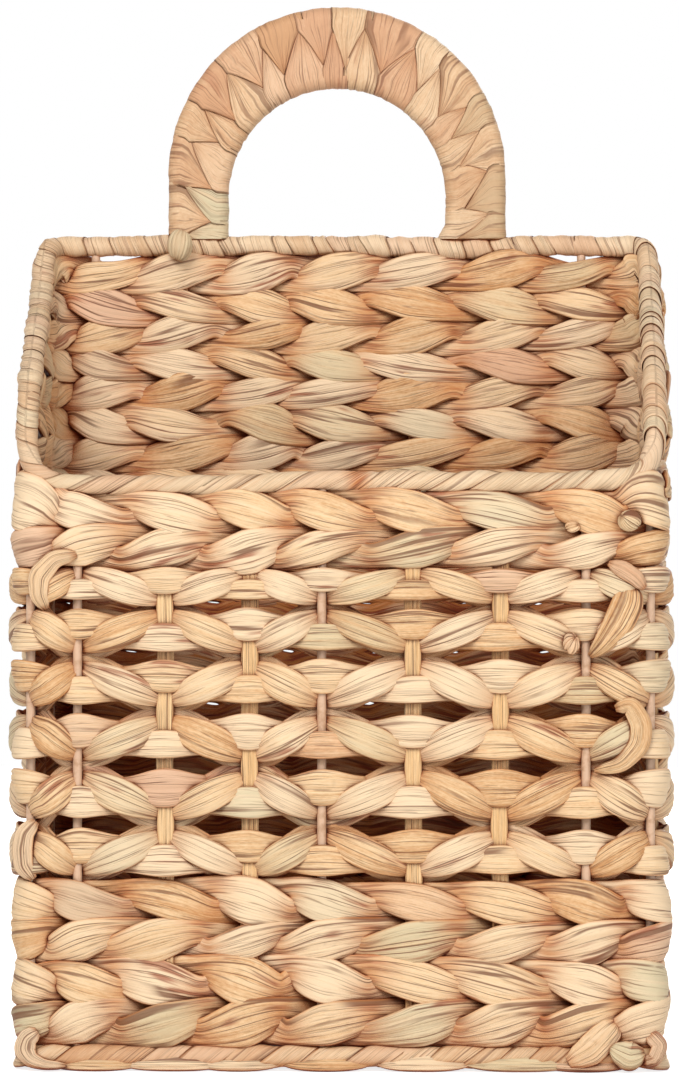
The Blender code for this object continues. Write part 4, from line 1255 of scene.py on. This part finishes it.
lapLook = {  # Places across, outwards and up with the half width in mm, tone, thickness, facing
    "low left": (((-122, -59.5, 16.5, 2.8), (-126.5, -59.8, 13.5, 4.2), (-127.8, -59.4, 8.8, 4.8),
                  (-125, -60.2, 4.8, 3.4), (-119.5, -61.3, 2.8, 2.2), (-110, -61, 2.4, 1.4)),
                 (1.0, 0.0, 0.3), 3.0, (-0.3, -1.0, 0.0)),
    "low right": (((112, -57.5, 20.0, 4.6), (107, -60.3, 15.0, 6.2), (101, -61.4, 9.0, 6.4),
                   (92, -60, 3.9, 3.6)), (0.5, 0.0, 0.2), 2.2, (0.1, -1.0, 0.1)),
    "folded end": (((109, -60, 10.5, 1.6), (113, -62, 8.6, 5.0), (117, -62, 6.8, 6.3),
                    (123, -59, 8.0, 3.4)), (0.6, 0.7, 0.0), 4.4, (0.1, -1.0, 0.1)),
    "star oval": (((101, -57, 168.0, 1.8), (106.0, -61.8, 173.0, 4.0), (112.5, -62.6, 181.5, 6.4),
                   (116.5, -62.3, 190.0, 6.6), (117.5, -59.5, 197.0, 4.4)),
                  (0.15, 0.0, 0.0), 3.0, (0.1, -1.0, 0.0)),
    "pink fold": (((108.5, -59.5, 206.0, 1.8), (114.0, -62.3, 203.6, 3.6), (119.5, -62.8, 200.0, 3.4),
                   (123.2, -61.0, 195.5, 2.0)), (0.3, 0.0, 0.8), 2.6, (0.1, -1.0, 0.1)),
    "hook": (((102, -58.5, 121.9, 1.5), (113.6, -62.4, 124.3, 3.4), (121, -62.2, 132.4, 4.4),
              (122, -61.6, 140.5, 4.6), (117.5, -62.2, 149.0, 3.8), (111, -58.5, 147.0, 2.2)),
             (0.25, 0.0, 0.0), 3.0, (0.15, -1.0, 0.0)),
    "left band": (((-123, -57, 101.5, 2.4), (-127.6, -58.8, 96.5, 4.2), (-128.8, -58.6, 90.0, 4.8),
                   (-128.2, -58.6, 83.0, 4.4), (-124, -57, 77.5, 2.4)),
                  (0.7, 0.0, 0.3), 3.0, (-0.4, -1.0, 0.0)),
    "left hook": (((-106, -59.5, 209.6, 2.2), (-115.5, -62.3, 207.6, 3.8), (-121.6, -62.4, 200.5, 4.8),
                   (-121.8, -61.6, 193.0, 4.0), (-119, -58, 187.0, 2.2)),
                  (0.45, 0.0, 0.2), 3.0, (-0.15, -1.0, 0.0)),
    "right corner": (((125, -57, 16.0, 3.6), (129.5, -59, 11.0, 3.4), (127, -60, 5.5, 3.2),
                      (122, -58, 4.0, 2.0)), (0.8, 0.0, 0.6), 3.0, (0.4, -1.0, 0.0))}


def foldedBall(seed, centre, half, axis, tone, ridge, folds):
    # A ball of leaf with folds from pole to pole
    latitude = (np.linspace(-0.5, 0.5, ballLook["rows"])[1:-1] * math.pi)[:, None]
    angle = np.linspace(0, fullTurn, ballLook["points"], endpoint=False)
    axis = unit(np.array(axis, float))
    first = unit(np.cross(axis, (0.3, 1.0, 0.2)))
    uneven = 0.5 * np.sin(3 * angle + sum(seed)) + 0.3 * np.sin(5 * angle)
    crest = np.abs(np.cos(folds / 2 * angle + uneven)) * np.cos(latitude) ** 0.4
    size = (1 - ridge + 1.4 * ridge * crest)[..., None]
    flat = np.cos(angle)[:, None] * first + np.sin(angle)[:, None] * np.cross(axis, first)
    ring = size * (np.cos(latitude)[..., None] * flat + np.sin(latitude)[..., None] * axis)
    pole = smooth((np.abs(latitude) - 0.9) / 0.6) * ballLook["poleDark"]
    # The groove mark paints shade into the valleys between the folds
    looks = leafLooks(crest.shape, (np.sin(angle / 2) * 1.6, latitude * 5 * mm, 0.7 * sum(seed)), tone,
                      (pole, np.clip(0.9 - 2 * crest, 0, 1), 0.0))
    return sweep((np.array(centre) + ring * np.array(half))[::-1], looks, False)


def lap(seed, points, tone, thick, facing):
    # A short strand through a few places, its bends rounded
    points = np.array(points, float) * mm
    share = np.linspace(0, len(points) - 1, 60)
    across, outwards, high, half = (eased(np.interp(share, np.arange(len(points)), column), 7, "edge")
                                    for column in points.T)
    ends = smooth(np.minimum(share, share[-1] - share) / 0.5)
    tint = layers(share.shape, *tone)
    line = np.stack([across, outwards, high], -1)
    return leafStrand(seed, line, unit(np.array(facing, float)), half * (0.7 + 0.3 * ends),
                      thick * mm * (0.5 + 0.5 * ends), (tint, tint), 1 - ends, False)


low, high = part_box("handle_knot")
look = knotLook
knot = foldedBall((150,), (low + high) / 2, (high - low) / 2 * look["size"], look["axis"], look["tone"],
                  look["ridge"], look["folds"])
makePiece("rim_knot", [knot], "wound_leaf", ["handle_knot"])
buds = [foldedBall((160, index), np.array(centre) * mm, np.array(half) * mm, *rest)
        for index, (centre, half, *rest) in enumerate(budLook.values())]
makePiece("curled_buds", buds, "woven_leaf")
laps = [lap((170, index), *values) for index, values in enumerate(lapLook.values())]
makePiece("corner_laps", laps, "woven_leaf")
for node in ("base_wire", "handle_inner_wire", "handle_outer_wire"):
    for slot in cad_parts[node].material_slots:
        slot.material = finishes["painted_wire"]
print("knot and loose ends made")

low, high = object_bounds()
